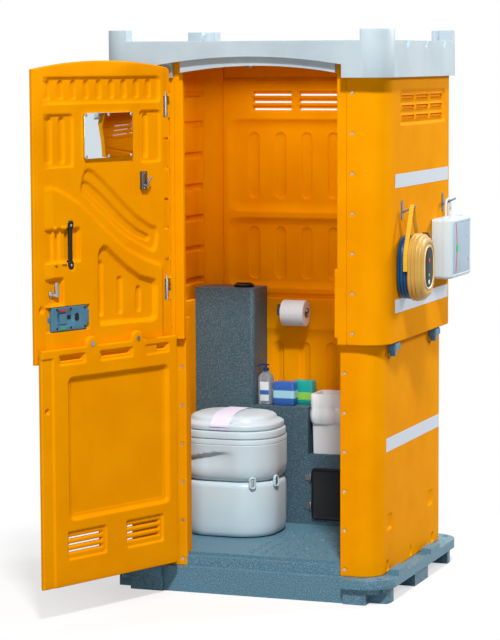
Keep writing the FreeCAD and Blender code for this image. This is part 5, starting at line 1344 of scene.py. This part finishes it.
@dataclass
class DoorFittings:
    """What is screwed to the upper leaf's inner face; places are along the leaf, up it and through it."""

    face: float = 16
    mirror_x: tuple[float, float, float] = (202, 321, 440)
    mirror_z: tuple[float, float] = (1700, 1853)
    lock_x: tuple[float, float, float] = (456, 528, 598)
    lock_z: tuple[float, float] = (1078, 1148)

    def mirror(self) -> None:
        """Mirror with a polished rim and six dome screws."""
        dress(plate(126.7, 84.2, 12, 16.3, 1.2, 5.6).piece("mirror_sheet", on_door(321, 1776.5, 0)),
              MIRROR, "upper_leaf", "mirror", "door_mirror")
        spots = [on_door(s, z, self.face + 0.3) for s in self.mirror_x for z in self.mirror_z]
        domes = Lathe(Plan(6.5, 6.5, 6.5, 6), [(0, 0), (0, 0.8), (1.6, 2.1), (3.6, 2.8), (6.2, 3.1)])
        dress(domes.piece("mirror_screws", *spots), STEEL, "upper_leaf", "screw_steel", "door_screws")

    def hook(self) -> None:
        """Coat hook: a slotted plate and a bent prong that rises outwards."""
        dress(plate(13.5, 35, 4, 3, 1, -10.4).piece("coat_hook_plate", on_door(135.5, 1602, self.face)), ZINC,
              "upper_leaf", "steel", "coat_hook")
        path = spline([(0, -12, 1), (1, -18, 6), (4, -14, 11), (10, -2, 14), (17, 12, 15.5), (21, 19, 15.5)], 26)
        dress(sweep("coat_hook_prong", path, round_section(3.8, 10), on_door(135.5, 1598, self.face),
                    up=(0, 0, 1)), ZINC, "upper_leaf", "steel", "coat_hook")
        spots = [on_door(135.5, z, self.face + 3) for z in (1574, 1630)]
        dress(disc(4.2, 1.4, 0.8).piece("coat_hook_screws", *spots), STEEL, "upper_leaf", "screw_steel")

    def handle(self) -> None:
        """Black pull handle with a boss at each end, each held by a bright screw."""
        bar = Lathe(Plan(9, 84, 8.9, 8), [(4, 4.5), (1.4, 5.6), (0, 8), (0, 11), (1.4, 13.4), (4, 14.6)])
        dress(bar.piece("pull_handle_bar", on_door(521, 1380, 0)), BLACK, "upper_leaf", "black_plastic",
              "pull_handle")
        ends = [on_door(521, z, 0) for z in (1307, 1453)]
        dress(plate(14, 17, 11, 15.4, 3.5, -3.8).piece("pull_handle_bosses", *ends), BLACK, "upper_leaf",
              "black_plastic", "pull_handle")
        spots = [on_door(521, z, 15.2) for z in (1307, 1453)]
        dress(disc(5, 1.8, 1).piece("pull_handle_screws", *spots), STEEL, "upper_leaf", "screw_steel")

    def lever(self) -> None:
        """Bright oval rosette, and the lever with its hub, short arm and flat upright grip."""
        rosette = Lathe(Plan(16, 30, 15.8, 8), [(0, 0), (0, 1.6), (1.5, 2.8), (6, 3.2), (7, 2.4), (13, 2.4)])
        dress(rosette.piece("lever_rosette", on_door(622, 1207, -4)), STEEL, "upper_leaf", "steel",
              "lever_plate")
        dress(disc(9.5, 9, 2.5, -1.4).piece("lever_hub", on_door(619, 1207, 0)), STEEL, "lever", "steel",
              "latch_lever")
        arm = spline([(-2, 0, 4), (8, -2, 6), (17, -5, 9), (24, -7, 10.5), (29, -7, 11)], 18)
        dress(sweep("lever_arm", arm, bar_section(11, 7, 3), on_door(617, 1206, 0), up=(0, 0, 1)), STEEL,
              "lever", "steel", "latch_lever")
        grip = spline([(27, -10, 11), (25, 4, 11), (23, 22, 11.5), (22, 42, 11.5)], 16)
        dress(sweep("lever_grip", grip, bar_section(17, 5.5, 2.5), on_door(617, 1206, 0), up=(0, 0, 1)), STEEL,
              "lever", "steel", "latch_lever")

    def lock(self) -> None:
        """Lock case with its pockets, side lug, black plates laid on two pocket floors as painted shade, two plain
        marks and black screws.
        """
        seat = HINGE.place([[445, -3.9, 0], [622, -3.9, 0]])[:, :2]
        pockets = [Press(Patch(511, 588, 1091, 1133, 3), 14.5, 2), Press(Patch(545, 588, 1096, 1127, 3), 2, 2),
                   Press(Patch(478, 508, 1092, 1135, 14), 5, 3), Press(Patch(590, 616, 1098, 1126, 3), 3, 2),
                   Press(Patch(449, 474, 1088, 1138, 4), 2, 2)]
        case = Panel("lock_case", Track.straight(tuple(seat[0]), tuple(seat[1])), 1067.5, 1157, 19.5, inner=pockets,
                     start=445, edge=4, soft=4, coarse_u=5, coarse_z=5, flip=True)
        dress(case.build(), LOCK, "upper_leaf", "dark_grey_plastic", "lock_housing")
        dress(plate(9, 29, 4, 13, 3, -3.9).piece("lock_lug", on_door(440, 1113, 0)), LOCK, "upper_leaf",
              "dark_grey_plastic", "lock_housing")
        # Black plates on the floors of the oval pocket and of the slider's square pocket: painted shade in the holes.
        dress(plate(10, 17, 9.8, 12.2, 0.8, 9).piece("lock_hole_painted_shade", on_door(493, 1113.5, 0)), BLACK,
              "upper_leaf", "black_plastic", "lock_housing")
        dress(plate(16, 18, 2, 1.6, 0.4, 0.4).piece("lock_slot_painted_shade", on_door(529, 1112, 0)), BLACK,
              "upper_leaf", "black_plastic", "lock_housing")
        arrow = [(-17, 0), (-7, -6.5), (-7, -3), (16, -3), (16, 3), (-7, 3), (-7, 6.5)]
        dress(cut_out("lock_mark_shut", arrow, 15.4, 16.4, on_door(567, 1143, 0)), RED, "upper_leaf",
              "dark_grey_plastic")
        back = [(17, 0), (7, 5.5), (7, 3), (-16, 3), (-16, -3), (7, -3), (7, -5.5)]
        dress(cut_out("lock_mark_open", back, 15.4, 16.4, on_door(568, 1078, 0)), GREEN, "upper_leaf",
              "dark_grey_plastic")
        spots = [on_door(s, z, 15.3) for s in self.lock_x for z in self.lock_z]
        dress(disc(4.6, 1.6, 0.9).piece("lock_screws", *spots), BLACK, "upper_leaf", "screw_steel",
              "door_screws")

    def build(self) -> None:
        """Makes them all."""
        self.mirror()
        self.hook()
        self.handle()
        self.lever()
        self.lock()


@dataclass
class Toilet:
    """Waste tank, bowl section, seat and lid, with the paper band and the two clips."""

    middle: tuple[float, float] = (-245, 46)
    seat_y: float = 40.5

    def scoop(self, points: Array) -> Array:
        """Presses a long hand scoop into the bowl's front left.

        Under the line z = 502 - 0.0008 (x - 60)^2 the wall steps in by up to 17 mm, and it comes out again down to
        z = 404, to the right up to x = 80 and round the side.
        """
        x, y, z = points.T
        line = 502 - 0.0008 * (x - 60) ** 2
        share = np.clip((line - z) / 12, 0, 1) * np.clip((z - 404) / 70, 0, 1) * np.clip((80 - x) / 130, 0, 1)
        share *= np.clip(-y / 80, 0, 1)
        moved = points.copy()
        moved[:, 1] += 17 * share * share * (3 - 2 * share)
        return moved

    def vessels(self) -> None:
        """Waste tank and the bowl section with its basin."""
        seat = Seat((*self.middle, 0))
        waste = [(46, 150.3), (26, 151.5), (15, 155), (8, 162), (4, 174), (0, 200), (0, 352), (3, 363), (9, 370.5),
                 (18, 374), (40, 374.8)]
        dress(Lathe(Plan(202, 178, 148, 14), waste).piece("waste_vessel", seat), WHITE, "base_section",
              "white_plastic", "waste_tank")
        skirt = [(0, 432 + 6 * k) for k in range(16)]
        bowl = [(60, 375.6), (30, 376.5), (19, 380), (10, 388), (4, 400), (1, 420), *skirt, (1.2, 523.5),
                (1.2, 526), (0, 527.5), (0, 541), (2, 546), (6, 548.6), (60, 549), (64, 546), (78, 490),
                (100, 440), (122, 414), (140, 408)]
        made = Lathe(Plan(205, 181, 150, 14), bowl, around=220, warp=self.scoop)
        dress(made.piece("bowl_vessel", seat), WHITE, "bowl_section", "white_plastic", "bowl_unit")

    def lid_rings(self) -> list[tuple[float, float]]:
        """Profile of the lid: rim, ledge, step and crown."""
        return [(22, 580.4), (11, 581.5), (8, 585), (7, 598), (9, 603), (14, 606.5), (24, 609), (31, 611.5),
                (35, 616), (37, 622), (41, 628), (49, 633), (62, 636.5), (86, 639.5), (118, 642.5), (146, 644.5)]

    def covers(self) -> None:
        """Seat ring and the lid over it, with the lid's two hinge knuckles."""
        seat = Seat((self.middle[0], self.seat_y, 0))
        ring = [(0, 552), (0, 571), (2, 576), (8, 579), (46, 579), (54, 576), (57, 568), (56, 551), (50, 549.8),
                (3, 549.8)]
        dress(Lathe(Plan(204, 175.5, 148, 14), ring, looped=True).piece("seat_ring", seat), WHITE,
              "bowl_section", "white_plastic", "toilet_seat")
        dress(Lathe(Plan(204, 175.5, 148, 14), self.lid_rings()).piece("lid_shell", seat), WHITE, "lid",
              "white_plastic", "toilet_lid")
        knuckles = [Seat((self.middle[0] + x, 205, 579), (0, 1, 0), (0, 0, 1), (1, 0, 0)) for x in (-92, 62)]
        dress(disc(10, 30, 2).piece("lid_knuckles", *knuckles), WHITE, "lid", "white_plastic", "toilet_lid")

    def band(self) -> None:
        """Plain paper band laid over the lid's crown and its front rim."""
        line = [(-129.5, 584), (-130.5, 594), (-129.5, 602), (-125, 608), (-114, 611.5), (-106, 614.5), (-101, 620),
                (-97, 626), (-88, 631.5), (-72, 636.5), (-50, 641), (-24, 644), (10, 646), (60, 646.4), (100, 645.6),
                (130, 641.6), (150, 637)]
        path = spline([(0, y, z + 1.6) for y, z in line], 60)
        made = sweep("lid_paper_band", path, bar_section(84, 0.7, 0.3, 2), Seat((self.middle[0], 0, 0)))
        dress(made, BAND, "lid", "band_paper", "paper_band")

    def clips(self) -> None:
        """Two over-centre clips: a white cup on the bowl's skirt with a bright tongue in it."""
        for name, angle in (("clip_front", -58), ("clip_side", -14)):
            turn = math.radians(angle)
            out, along = (math.cos(turn), math.sin(turn), 0), (-math.sin(turn), math.cos(turn), 0)
            origin = (-190 + 147 * out[0], 14 + 147 * out[1], 375)
            seat = Seat(origin, along, (0, 0, 1), out)
            cup = Lathe(Plan(15, 24, 13, 6), [(0, 1), (0, 7), (2, 9.6), (4, 10), (6, 8), (7, 5)])
            dress(cup.piece(name + "_cup", seat), WHITE, name, "white_plastic", name)
            dress(plate(5.5, 14, 4, 9.6, 1.5, 4).piece(name + "_tongue", seat), STEEL, name, "steel")

    def build(self) -> None:
        """Makes the whole toilet."""
        self.vessels()
        self.covers()
        self.band()
        self.clips()


@dataclass
class Supplies:
    """What stands on the console and hangs on the back wall, and the bin with its liner."""

    bin_middle: tuple[float, float] = (127, 346)

    def bottle(self) -> None:
        """Flat clear bottle with a plain label, and its pump with a collar and a bent spout."""
        spot = Seat((-208, 322, 0))
        rings = [(3, 633.5), (0, 637), (0, 735), (2, 744), (5, 752), (9, 758), (10.5, 761, 0.8), (11, 765, 0.62),
                 (11, 772, 0.62)]
        dress(Lathe(Plan(30, 22, 12), rings).piece("gel_bottle", spot), GEL, "base_section", "clear_gel",
              "sanitiser_bottle")
        tag = plate(19, 40, 3, 0.8, 0.3)
        dress(tag.piece("gel_bottle_label", facing_front(-208, 299.8, 688)), TAG, "base_section", "clear_gel")
        turned = [(0, 772.3), (0, 782), (2, 784), (7, 785), (8, 788), (8, 793), (12, 793.5)]
        dress(Lathe(Plan(12.5, 12.5, 12.5, 6), turned).piece("gel_pump_collar", spot), PUMP, "pump",
              "blue_plastic", "sanitiser_pump")
        spout = spline([(12, 0, 796), (0, 0, 798), (-16, 0, 798), (-28, 0, 796), (-32, 0, 790)], 18)
        dress(sweep("gel_pump_spout", spout, bar_section(13, 6, 2.8), spot), PUMP, "pump", "blue_plastic",
              "sanitiser_pump")

    def packets(self) -> None:
        """Two soft film packets: each a bulged block that draws in at its ends."""
        rings = [(9, 633.6), (3, 634.5), (0.5, 641), (0, 660), (0, 700), (0.6, 718), (3, 728), (8, 731.2)]
        for name, place, finish, node, slot in (
                ("packet_near", (-122, 318), PACK_ONE, "wipes_box", "pack_blue"),
                ("packet_far", (-64, 386), PACK_TWO, "wipes_tub", "pack_teal")):
            made = Lathe(Plan(48, 29, 9.5, 8), rings, around=90, warp=self.bulge)
            dress(made.piece(name, Seat((*place, 0))), finish, "base_section", slot, node)

    def bulge(self, points: Array) -> Array:
        """Draws the faces in towards their rims: scale 1 less 0.05 of the squared height share."""
        share = (points[:, 2:] - 682) / 49
        return points * np.concatenate([np.repeat(1 - 0.05 * share ** 2, 2, axis=1), np.ones_like(share)], axis=1)

    def bin(self) -> None:
        """Square bin with a collar that traps the liner."""
        rings = [(12, 440.5), (9, 443), (8, 470), (4, 618), (4, 624), (0, 627), (0, 679), (1, 684), (3, 686),
                 (7, 686), (8.5, 683), (9, 628), (11, 470), (13, 448), (14.8, 445)]
        # The bin's white is lightened as painted light, for the shade that the bin stands in.
        dress(Lathe(Plan(125, 74, 15, 8), rings).piece("bin_shell", Seat((*self.bin_middle, 0))), WHITE_PAINTED_LIGHTER, "bin",
              "white_plastic", "waste_bin")

    def ripple(self, points: Array) -> Array:
        """Puckers the liner's cuff: three sines round it move it in and out, and a slower one up and down."""
        turn = np.arctan2(points[:, 1] * 1.6, points[:, 0])
        wave = np.sin(11 * turn) + 0.7 * np.sin(19 * turn + 1.1) + 0.5 * np.sin(31 * turn + 2.3)
        away = np.abs(points[:, 2] - 596) < 34
        outside = np.maximum(np.abs(points[:, 0]) / 122, np.abs(points[:, 1]) / 71) > 1.0
        grow = np.where(away & outside, 2.4 * wave, 0.0)
        moved = points.copy()
        moved[:, :2] *= 1 + grow[:, None] / 140
        moved[:, 2] += np.where(away & outside, 2.5 * np.sin(7 * turn + 0.6), 0)
        return moved

    def liner(self) -> None:
        """Thin film that lines the bin and hangs out below its collar in a puckered cuff."""
        rings = [(14.9, 448), (14.5, 449.5), (14.2, 470), (13.6, 600), (13.1, 629), (13, 684), (11, 688),
                 (6, 689.4), (1, 688), (-1.4, 684), (-1.6, 634), (-3, 627), (-6, 616), (-8, 600), (-7, 584),
                 (-3, 572), (-2.4, 571), (-3.2, 570.4), (-7.6, 583.6), (-8.6, 600), (-6.6, 616.4), (-3.6, 627.4),
                 (-2.2, 634), (-2, 684.4), (0.8, 688.6), (6, 690), (11.4, 688.6), (12.4, 684), (12.5, 629),
                 (13, 600), (13.6, 470), (14, 450), (14.6, 448.5)]
        made = Lathe(Plan(125, 74, 15, 8), rings, around=260, warp=self.ripple)
        piece = dress(made.piece("bin_liner_film", Seat((*self.bin_middle, 0))), LINER, "bin", "liner",
                            "bin_liner")

    def roll(self) -> None:
        """Toilet roll with a core hole and softly stepped ends."""
        ends = [(0.6, 0.6), (0, 2.5), (0, 97.5), (0.6, 99.4), (3, 100), (9, 99.4), (12, 99.9), (20, 99.3), (26, 99.8),
                (32, 99.2), (33, 97), (33, 3), (32, 0.8), (26, 0.2), (20, 0.7), (12, 0.1), (9, 0.6), (3, 0)]
        seat = Seat((-148, 372, 1010), (0, 1, 0), (0, 0, 1), (1, 0, 0))
        dress(Lathe(Plan(54, 54, 54, 14), ends, looped=True).piece("roll_paper", seat), TISSUE, "roll", "paper",
              "toilet_roll")
        dress(Lathe(Plan(21.6, 21.6, 21.6, 10), [(0, 0.8), (0, 99.2), (1.6, 99.2), (1.6, 0.8)], looped=True)
              .piece("roll_core", seat), TAN, "roll", "paper", "toilet_roll")

    def build(self) -> None:
        """Makes them all."""
        self.bottle()
        self.packets()
        self.bin()
        self.liner()
        self.roll()


@dataclass
class Console:
    """Cap of the tank, hatch of the console, studs of the deck and the four draw latches."""

    latches: tuple[tuple[str, int, float], ...] = (("latch_front_right", 1, -302), ("latch_rear_right", 1, 250),
                                                   ("latch_front_left", -1, -302), ("latch_rear_left", -1, 250))

    def knurl(self, points: Array) -> Array:
        """Scallops a round rim: the radius times 1 plus 0.012 of the cosine of 28 turns."""
        turn = np.arctan2(points[:, 1], points[:, 0])
        return points * np.stack([1 + 0.012 * np.cos(28 * turn)] * 2 + [np.ones_like(turn)], axis=1)

    def cap(self) -> None:
        """Screw cap with a scalloped rim and a bar to turn it by."""
        rings = [(1, 1115.6), (0, 1117), (0, 1124), (2, 1126.5), (5, 1127.5), (9, 1126), (30, 1126), (41.8, 1126)]
        seat = Seat((-313, 347.5, 0))
        dress(Lathe(Plan(41, 41, 41, 30), rings, warp=self.knurl).piece("tank_cap_disc", seat), BLACK, "cap",
              "black_plastic", "tank_cap")
        dress(plate(33, 6, 5, 1132.8, 2.5, 1125).piece("tank_cap_bar", seat), BLACK, "cap", "black_plastic",
              "tank_cap")

    def hatch(self) -> None:
        """Black flap with rounded corners and a raised rim."""
        rings = [(1, 0.2), (0, 1.5), (0, 7), (1.5, 9), (4, 9.8), (8, 9.8), (10, 8.6), (12, 7.6)]
        dress(Lathe(Plan(105, 107, 16, 8), rings).piece("hatch_flap", facing_front(117, 263.4, 279)), BLACK,
              "hatch", "black_plastic", "access_door")

    def studs(self) -> None:
        """Short raised bars on the deck, turned to the left and the right by rows."""
        seats = []
        for row, column in np.ndindex(11, 9):
            turn = math.radians(45 if (row + column) % 2 else -45)
            seats.append(Seat((-20 + 46 * column, -372 + 46 * row, 149.9), (math.cos(turn), math.sin(turn), 0),
                              (-math.sin(turn), math.cos(turn), 0)))
        bars = Lathe(Plan(13, 5, 4.9, 3), [(0, 0), (0.4, 2.6), (2, 3.8), (4, 4)])
        dress(bars.piece("deck_studs", *seats), STONE, "base_section", "grey_speckle")

    def latch(self, name: str, side: int, y: float) -> None:
        """One draw latch: a tongue that goes up between the walls, a grip and a hook below it.

        Args:
            name: Name of its node and body.
            side: 1 on the right wall, -1 on the left.
            y: Its place from the front to the back.
        """
        dress(plate(30, 27, 5, 11, 1.5).piece(name + "_tongue", on_side(side, 520.3, y, 981)), LOCK, name,
              "dark_grey_plastic", name)
        grip = Lathe(Plan(34, 15.5, 6, 6), [(1, 0), (0, 1), (0, 22), (2, 27), (6, 30.5)])
        dress(grip.piece(name + "_grip", on_side(side, 520.3, y, 967)), LOCK, name, "dark_grey_plastic", name)
        hook = Lathe(Plan(15, 14, 4, 6), [(1, 0), (0, 1), (0, 17), (2, 20), (4, 21)])
        dress(hook.piece(name + "_hook", on_side(side, 520.3, y, 944)), LOCK, name, "dark_grey_plastic", name)

    def build(self) -> None:
        """Makes them all."""
        self.cap()
        self.hatch()
        self.studs()
        for name, side, y in self.latches:
            self.latch(name, side, y)


@dataclass
class OutsideKit:
    """The first-aid case and the ribbed kit bag on the right wall's hooks."""

    wall: float = 553.7
    case_y: float = 272.5
    case_z: float = 1307
    bag_y: float = -248
    bag_z: float = 1267

    def case(self) -> None:
        """Case body and lid with a raised border round a plain label, two catches and a carrying loop."""
        seat = on_side(1, self.wall, self.case_y, self.case_z)
        body = [(10, 0.2), (3, 2), (0, 7), (0, 42), (-0.1, 45), (-0.1, 47.6)]
        dress(Lathe(Plan(141, 119, 14, 8), body).piece("case_body", seat), WHITE, "first_aid", "white_plastic",
              "first_aid_case")
        lid = [(1, 48.2), (0, 49.4), (0, 56), (2, 58), (2, 76), (4, 81), (8, 84.5), (11, 85.8), (13, 85.8, 0.975),
               (13, 83.4, 0.965), (13.4, 83.2, 0.5)]
        dress(Lathe(Plan(142.5, 120, 14, 8), lid).piece("case_lid", seat), WHITE, "first_aid_cover",
              "white_plastic", "first_aid_lid")
        dress(plate(122, 101, 6, 84.4, 0.4, 83).piece("case_label", seat), LABEL, "first_aid_cover",
              "white_plastic")
        stripe = spline([(-78, -98, 84.6), (-66, -50, 84.6), (-62, 0, 84.6), (-66, 50, 84.6), (-78, 98, 84.6)], 24)
        dress(sweep("case_stripe", stripe, bar_section(9, 0.8, 0.3, 2), seat), RED, "first_aid_cover",
              "white_plastic")
        spot = on_side(1, self.wall, self.case_y - 62, self.case_z)
        dress(plate(12, 17, 11.8, 85.6, 0.4, 84).piece("case_spot", spot), GREEN, "first_aid_cover",
              "white_plastic")
        catches = [Seat((self.wall + 50, self.case_y + y, 1425.8), (0, 1, 0), (-1, 0, 0)) for y in (-88, 88)]
        dress(plate(19, 13, 4, 6.5, 2).piece("case_catches", *catches), WHITE, "first_aid_cover",
              "white_plastic", "first_aid_lid")
        loop = spline([(577, 262.5, 1424), (577, 262.5, 1455), (577, 262.5, 1478), (577, 272, 1495), (577, 295, 1496),
                       (577, 318, 1495), (577, 327.5, 1478), (577, 327.5, 1455), (577, 327.5, 1424)], 44)
        dress(sweep("case_loop", loop, bar_section(8, 9, 3), up=(1, 0, 0)), WHITE, "first_aid",
              "white_plastic", "first_aid_case")

    def bag(self) -> None:
        """Ribbed back and front halves, with a sunk dark window in a pale rim on the outer face."""
        seat = on_side(1, self.wall, self.bag_y, self.bag_z)
        back = [(16, 0.3), (5, 3), (1, 7), (5, 12), (5, 13), (0.5, 18), (4, 24), (4, 25), (0, 31), (2, 37), (8, 41.8)]
        dress(Lathe(Plan(100, 121, 88, 16), back).piece("bag_back", seat), NAVY, "kit_bag", "bag_blue",
              "kit_bag_back")
        front = [(14, 42.4), (6, 44), (1, 49), (1, 53), (6, 57), (6, 58.5), (0, 63), (0, 68), (6, 72), (6, 73.5),
                 (2, 78), (4, 83), (12, 87), (13, 88.5), (14, 93), (20, 98), (28, 101), (34, 101.6), (36, 99.5)]
        dress(Lathe(Plan(107, 128, 94, 16), front).piece("bag_front", seat), TAN, "kit_bag", "bag_tan",
              "kit_bag_front")
        rim = [(0, 99), (0, 102), (2, 103.8), (5, 104), (8, 102), (8, 99)]
        dress(Lathe(Plan(62, 84, 58, 14), rim, looped=True).piece("bag_rim", seat), CREAM, "kit_bag", "bag_tan",
              "kit_bag_front")
        dress(plate(54, 76, 50, 102, 1.5, 99).piece("bag_window", seat), SCREEN, "kit_bag", "bag_tan")
        for name, up, finish, radius in (("bag_lamp_red", 26, RED, 8), ("bag_lamp_green", -30, GREEN, 7),
                                         ("bag_button", -56, WHITE, 9)):
            spot = on_side(1, self.wall, self.bag_y, self.bag_z + up)
            dress(disc(radius, 103.4, 0.8, 101.8).piece(name, spot), finish, "kit_bag", "bag_tan")
        buckle = Seat((self.wall + 72, self.bag_y + 62, self.bag_z + 112), (0, 0.88, -0.47), (-1, 0, 0),
                      (0, 0.47, 0.88))
        dress(plate(20, 13, 4, 9, 2).piece("bag_buckle", buckle), BLACK, "kit_bag", "bag_tan")

    def strap(self) -> None:
        """Webbing that runs up the near side of the bag, over the peg and down to its far shoulder."""
        turn = np.radians([180, 170, 160, 153])
        rise = [(0, -261 + 96.6 * math.cos(a), 1301 + 96.6 * math.sin(a)) for a in turn]
        over = [(0, -264 + 6 * math.cos(a), 1497 + 6 * math.sin(a)) for a in np.radians([160, 125, 90, 55, 20])]
        path = np.array([(0, -357.7, 1258), (0, -357.7, 1280), *rise, (0, -308, 1420), *over, (0, -232, 1440),
                         (0, -206, 1394)], float)
        dress(sweep("bag_strap", path, bar_section(2.4, 17, 1), Seat((594, 0, 0)), up=(1, 0, 0)), WEBBING,
              "kit_bag", "bag_yellow", "kit_bag_strap")

    def build(self) -> None:
        """Makes them all."""
        self.case()
        self.bag()
        self.strap()


@dataclass
class Studio:
    """Camera, lights, floor and surroundings."""

    eye: tuple[float, float, float] = (3.3151, -9.4445, 2.0632)
    yaw: float = 20.199
    pitch: float = 5.943
    roll: float = -0.242
    focal_px: float = 2528.17
    frame_px: float = 640
    lamps: tuple[tuple[str, tuple[float, float, float], tuple[float, float, float], float, float], ...] = (
        ("key", (3.5, -8.0, 11.0), (-0.1, -0.5, 1.0), 1.2, 1760),
        ("front", (2.3, -8.5, 2.4), (0.0, 0.0, 0.9), 1.6, 84),
        ("side", (4.5, 4.5, 4.2), (0.5, 0.0, 1.1), 1.4, 330),
        ("fill", (-5.0, -3.5, 3.6), (-0.2, -0.4, 1.1), 3.0, 25),
        ("rear", (-1.5, 5.0, 4.5), (0, 0, 1.2), 3.0, 75),
    )

    def camera(self) -> None:
        """Camera fitted to the photograph: turned by yaw, tipped by pitch, rolled about its own axis."""
        data = bpy.data.cameras.new("camera")
        data.sensor_width = 36
        data.lens = self.focal_px * 36 / self.frame_px
        data.clip_start, data.clip_end = 0.1, 100
        made = bpy.data.objects.new("camera", data)
        yaw, pitch, roll = [math.radians(a) for a in (self.yaw, self.pitch, self.roll)]
        forward = Vector((-math.sin(yaw) * math.cos(pitch), math.cos(yaw) * math.cos(pitch), -math.sin(pitch)))
        right = Vector((math.cos(yaw), math.sin(yaw), 0))
        rise = right.cross(forward)
        side = right * math.cos(roll) + rise * math.sin(roll)
        top = rise * math.cos(roll) - right * math.sin(roll)
        turned = Matrix((side, top, -forward)).transposed().to_4x4()
        made.matrix_world = Matrix.Translation(self.eye) @ turned
        bpy.context.scene.collection.objects.link(made)
        bpy.context.scene.camera = made

    def lights(self) -> None:
        """Large soft area lamps and a small one under the translucent roof."""
        for name, place, target, size, power in self.lamps:
            self.lamp(name, place, target, size, size, power)
        self.lamp("skylight", (0, 0, 1.96), (0, 0, 0), 0.8, 0.7, 4)

    def lamp(self, name: str, place: Sequence[float], target: Sequence[float], wide: float, tall: float,
             power: float) -> None:
        """Adds one area lamp that looks from its place to its target.

        Args:
            name: Lamp name.
            place: Where it stands.
            target: Where it looks.
            wide: Width.
            tall: Height.
            power: Watts.
        """
        data = bpy.data.lights.new(name, "AREA")
        data.shape, data.size, data.size_y, data.energy = "RECTANGLE", wide, tall, power
        made = bpy.data.objects.new(name, data)
        made.location = place
        made.rotation_euler = (Vector(target) - Vector(place)).to_track_quat("-Z", "Y").to_euler()
        made.visible_camera = False
        made.visible_glossy = name != "skylight"
        bpy.context.scene.collection.objects.link(made)

    def seen(self, tree: Tree) -> Socket:
        """1 for rays of the camera, mirrors and glass, and 0 for the light that falls on surfaces."""
        path = add_node(tree, "ShaderNodeLightPath").outputs
        mirrored = add_node(tree, "ShaderNodeMath", {0: path["Is Camera Ray"], 1: path["Is Glossy Ray"]},
                            operation="MAXIMUM").outputs[0]
        return add_node(tree, "ShaderNodeMath", {0: mirrored, 1: path["Is Transmission Ray"]},
                        operation="MAXIMUM").outputs[0]

    def world(self) -> None:
        """Even surroundings that are white to the camera and to mirrors."""
        made = bpy.data.worlds.new("surroundings")
        bpy.context.scene.world = made
        made.use_nodes = True
        tree = made.node_tree
        tree.nodes.clear()
        strength = add_node(tree, "ShaderNodeMapRange", {"Value": self.seen(tree), "To Min": 0.15, "To Max": 1.0})
        sky = add_node(tree, "ShaderNodeBackground", {"Color": (1, 1, 1, 1), "Strength": strength.outputs[0]})
        add_node(tree, "ShaderNodeOutputWorld", {"Surface": sky.outputs[0]})

    def floor(self) -> None:
        """Pale level floor, a grid 60 m across whose far part is lost in white."""
        places = np.linspace(-30, 30, 61)
        x, y = np.meshgrid(places, places, indexing="ij")
        points = np.stack([x.ravel(), y.ravel(), np.zeros(x.size)], axis=1) / MM
        count = len(places)
        row, column = np.meshgrid(np.arange(count - 1), np.arange(count - 1), indexing="ij")
        base = (row * count + column).ravel()
        quads = np.stack([base, base + count, base + count + 1, base + 1], axis=1)
        made = mesh_piece("studio_floor", points, [quads])
        finish = bpy.data.materials.new("pale_floor")
        finish.use_nodes = True
        tree = finish.node_tree
        tree.nodes.clear()
        pale = add_node(tree, "ShaderNodeMapRange", {"Value": self.seen(tree), "To Min": 0.32, "To Max": 0.9})
        matt = add_node(tree, "ShaderNodeBsdfDiffuse", {"Color": pale.outputs[0]})
        glow = add_node(tree, "ShaderNodeEmission", {"Color": (1, 1, 1, 1), "Strength": 1.0})
        place = add_node(tree, "ShaderNodeTexCoord").outputs["Object"]
        away = add_node(tree, "ShaderNodeVectorMath", {0: place}, operation="LENGTH").outputs[1]
        fade = add_node(tree, "ShaderNodeMapRange", {"Value": away, "From Min": 0.8, "From Max": 1.8, "To Min": 0.6,
                                                     "To Max": 1.0})
        share = add_node(tree, "ShaderNodeMath", {0: self.seen(tree), 1: fade.outputs[0]}, operation="MULTIPLY")
        mixed = add_node(tree, "ShaderNodeMixShader", {0: share.outputs[0], 1: matt.outputs[0], 2: glow.outputs[0]})
        add_node(tree, "ShaderNodeOutputMaterial", {"Surface": mixed.outputs[0]})
        made.data.materials.append(finish)

    def build(self) -> None:
        """Sets the whole stage."""
        bpy.context.scene.view_settings.view_transform = "Standard"
        self.camera()
        self.lights()
        self.world()
        self.floor()


NODE_FINISHES: tuple[tuple[Finish, float, tuple[str, ...]], ...] = (
    (SHELL, 3.0, ("upper_jamb_left", "upper_jamb_right", "lower_posts", "guide_pads")),
    (STONE, 8.0, ("base_pallet",)),
    (SLATE, 10.0, ("console", "flush_tank")),
    (ROOF, 5.0, ("roof",)),
    (LOCK, 1.0, ("lock_slider",)),
    (ZINC, 0.8, ("roll_holder", "kit_hooks")),
    (STEEL, 0.8, ("lower_door_hinges", "upper_door_hinges", "access_hinges", "latch_pins", "ear_bolts")),
    (BRASS, 0.5, ("upper_screws", "lower_screws")),
    (TAPE, 0.0, ("upper_strips", "lower_strips")),
)


def main() -> None:
    """Builds every sub-assembly in order."""
    logging.basicConfig(level=logging.INFO, format="%(name)s: %(message)s")
    UpperLeaf().build()
    LowerLeaf().build()
    Walls().build()
    DoorFittings().build()
    Toilet().build()
    Supplies().build()
    Console().build()
    OutsideKit().build()
    for finish, bevel, names in NODE_FINISHES:
        for name in names:
            dress_node(name, finish, bevel)
    Studio().build()
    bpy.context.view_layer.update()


if __name__ == "__main__":
    main()
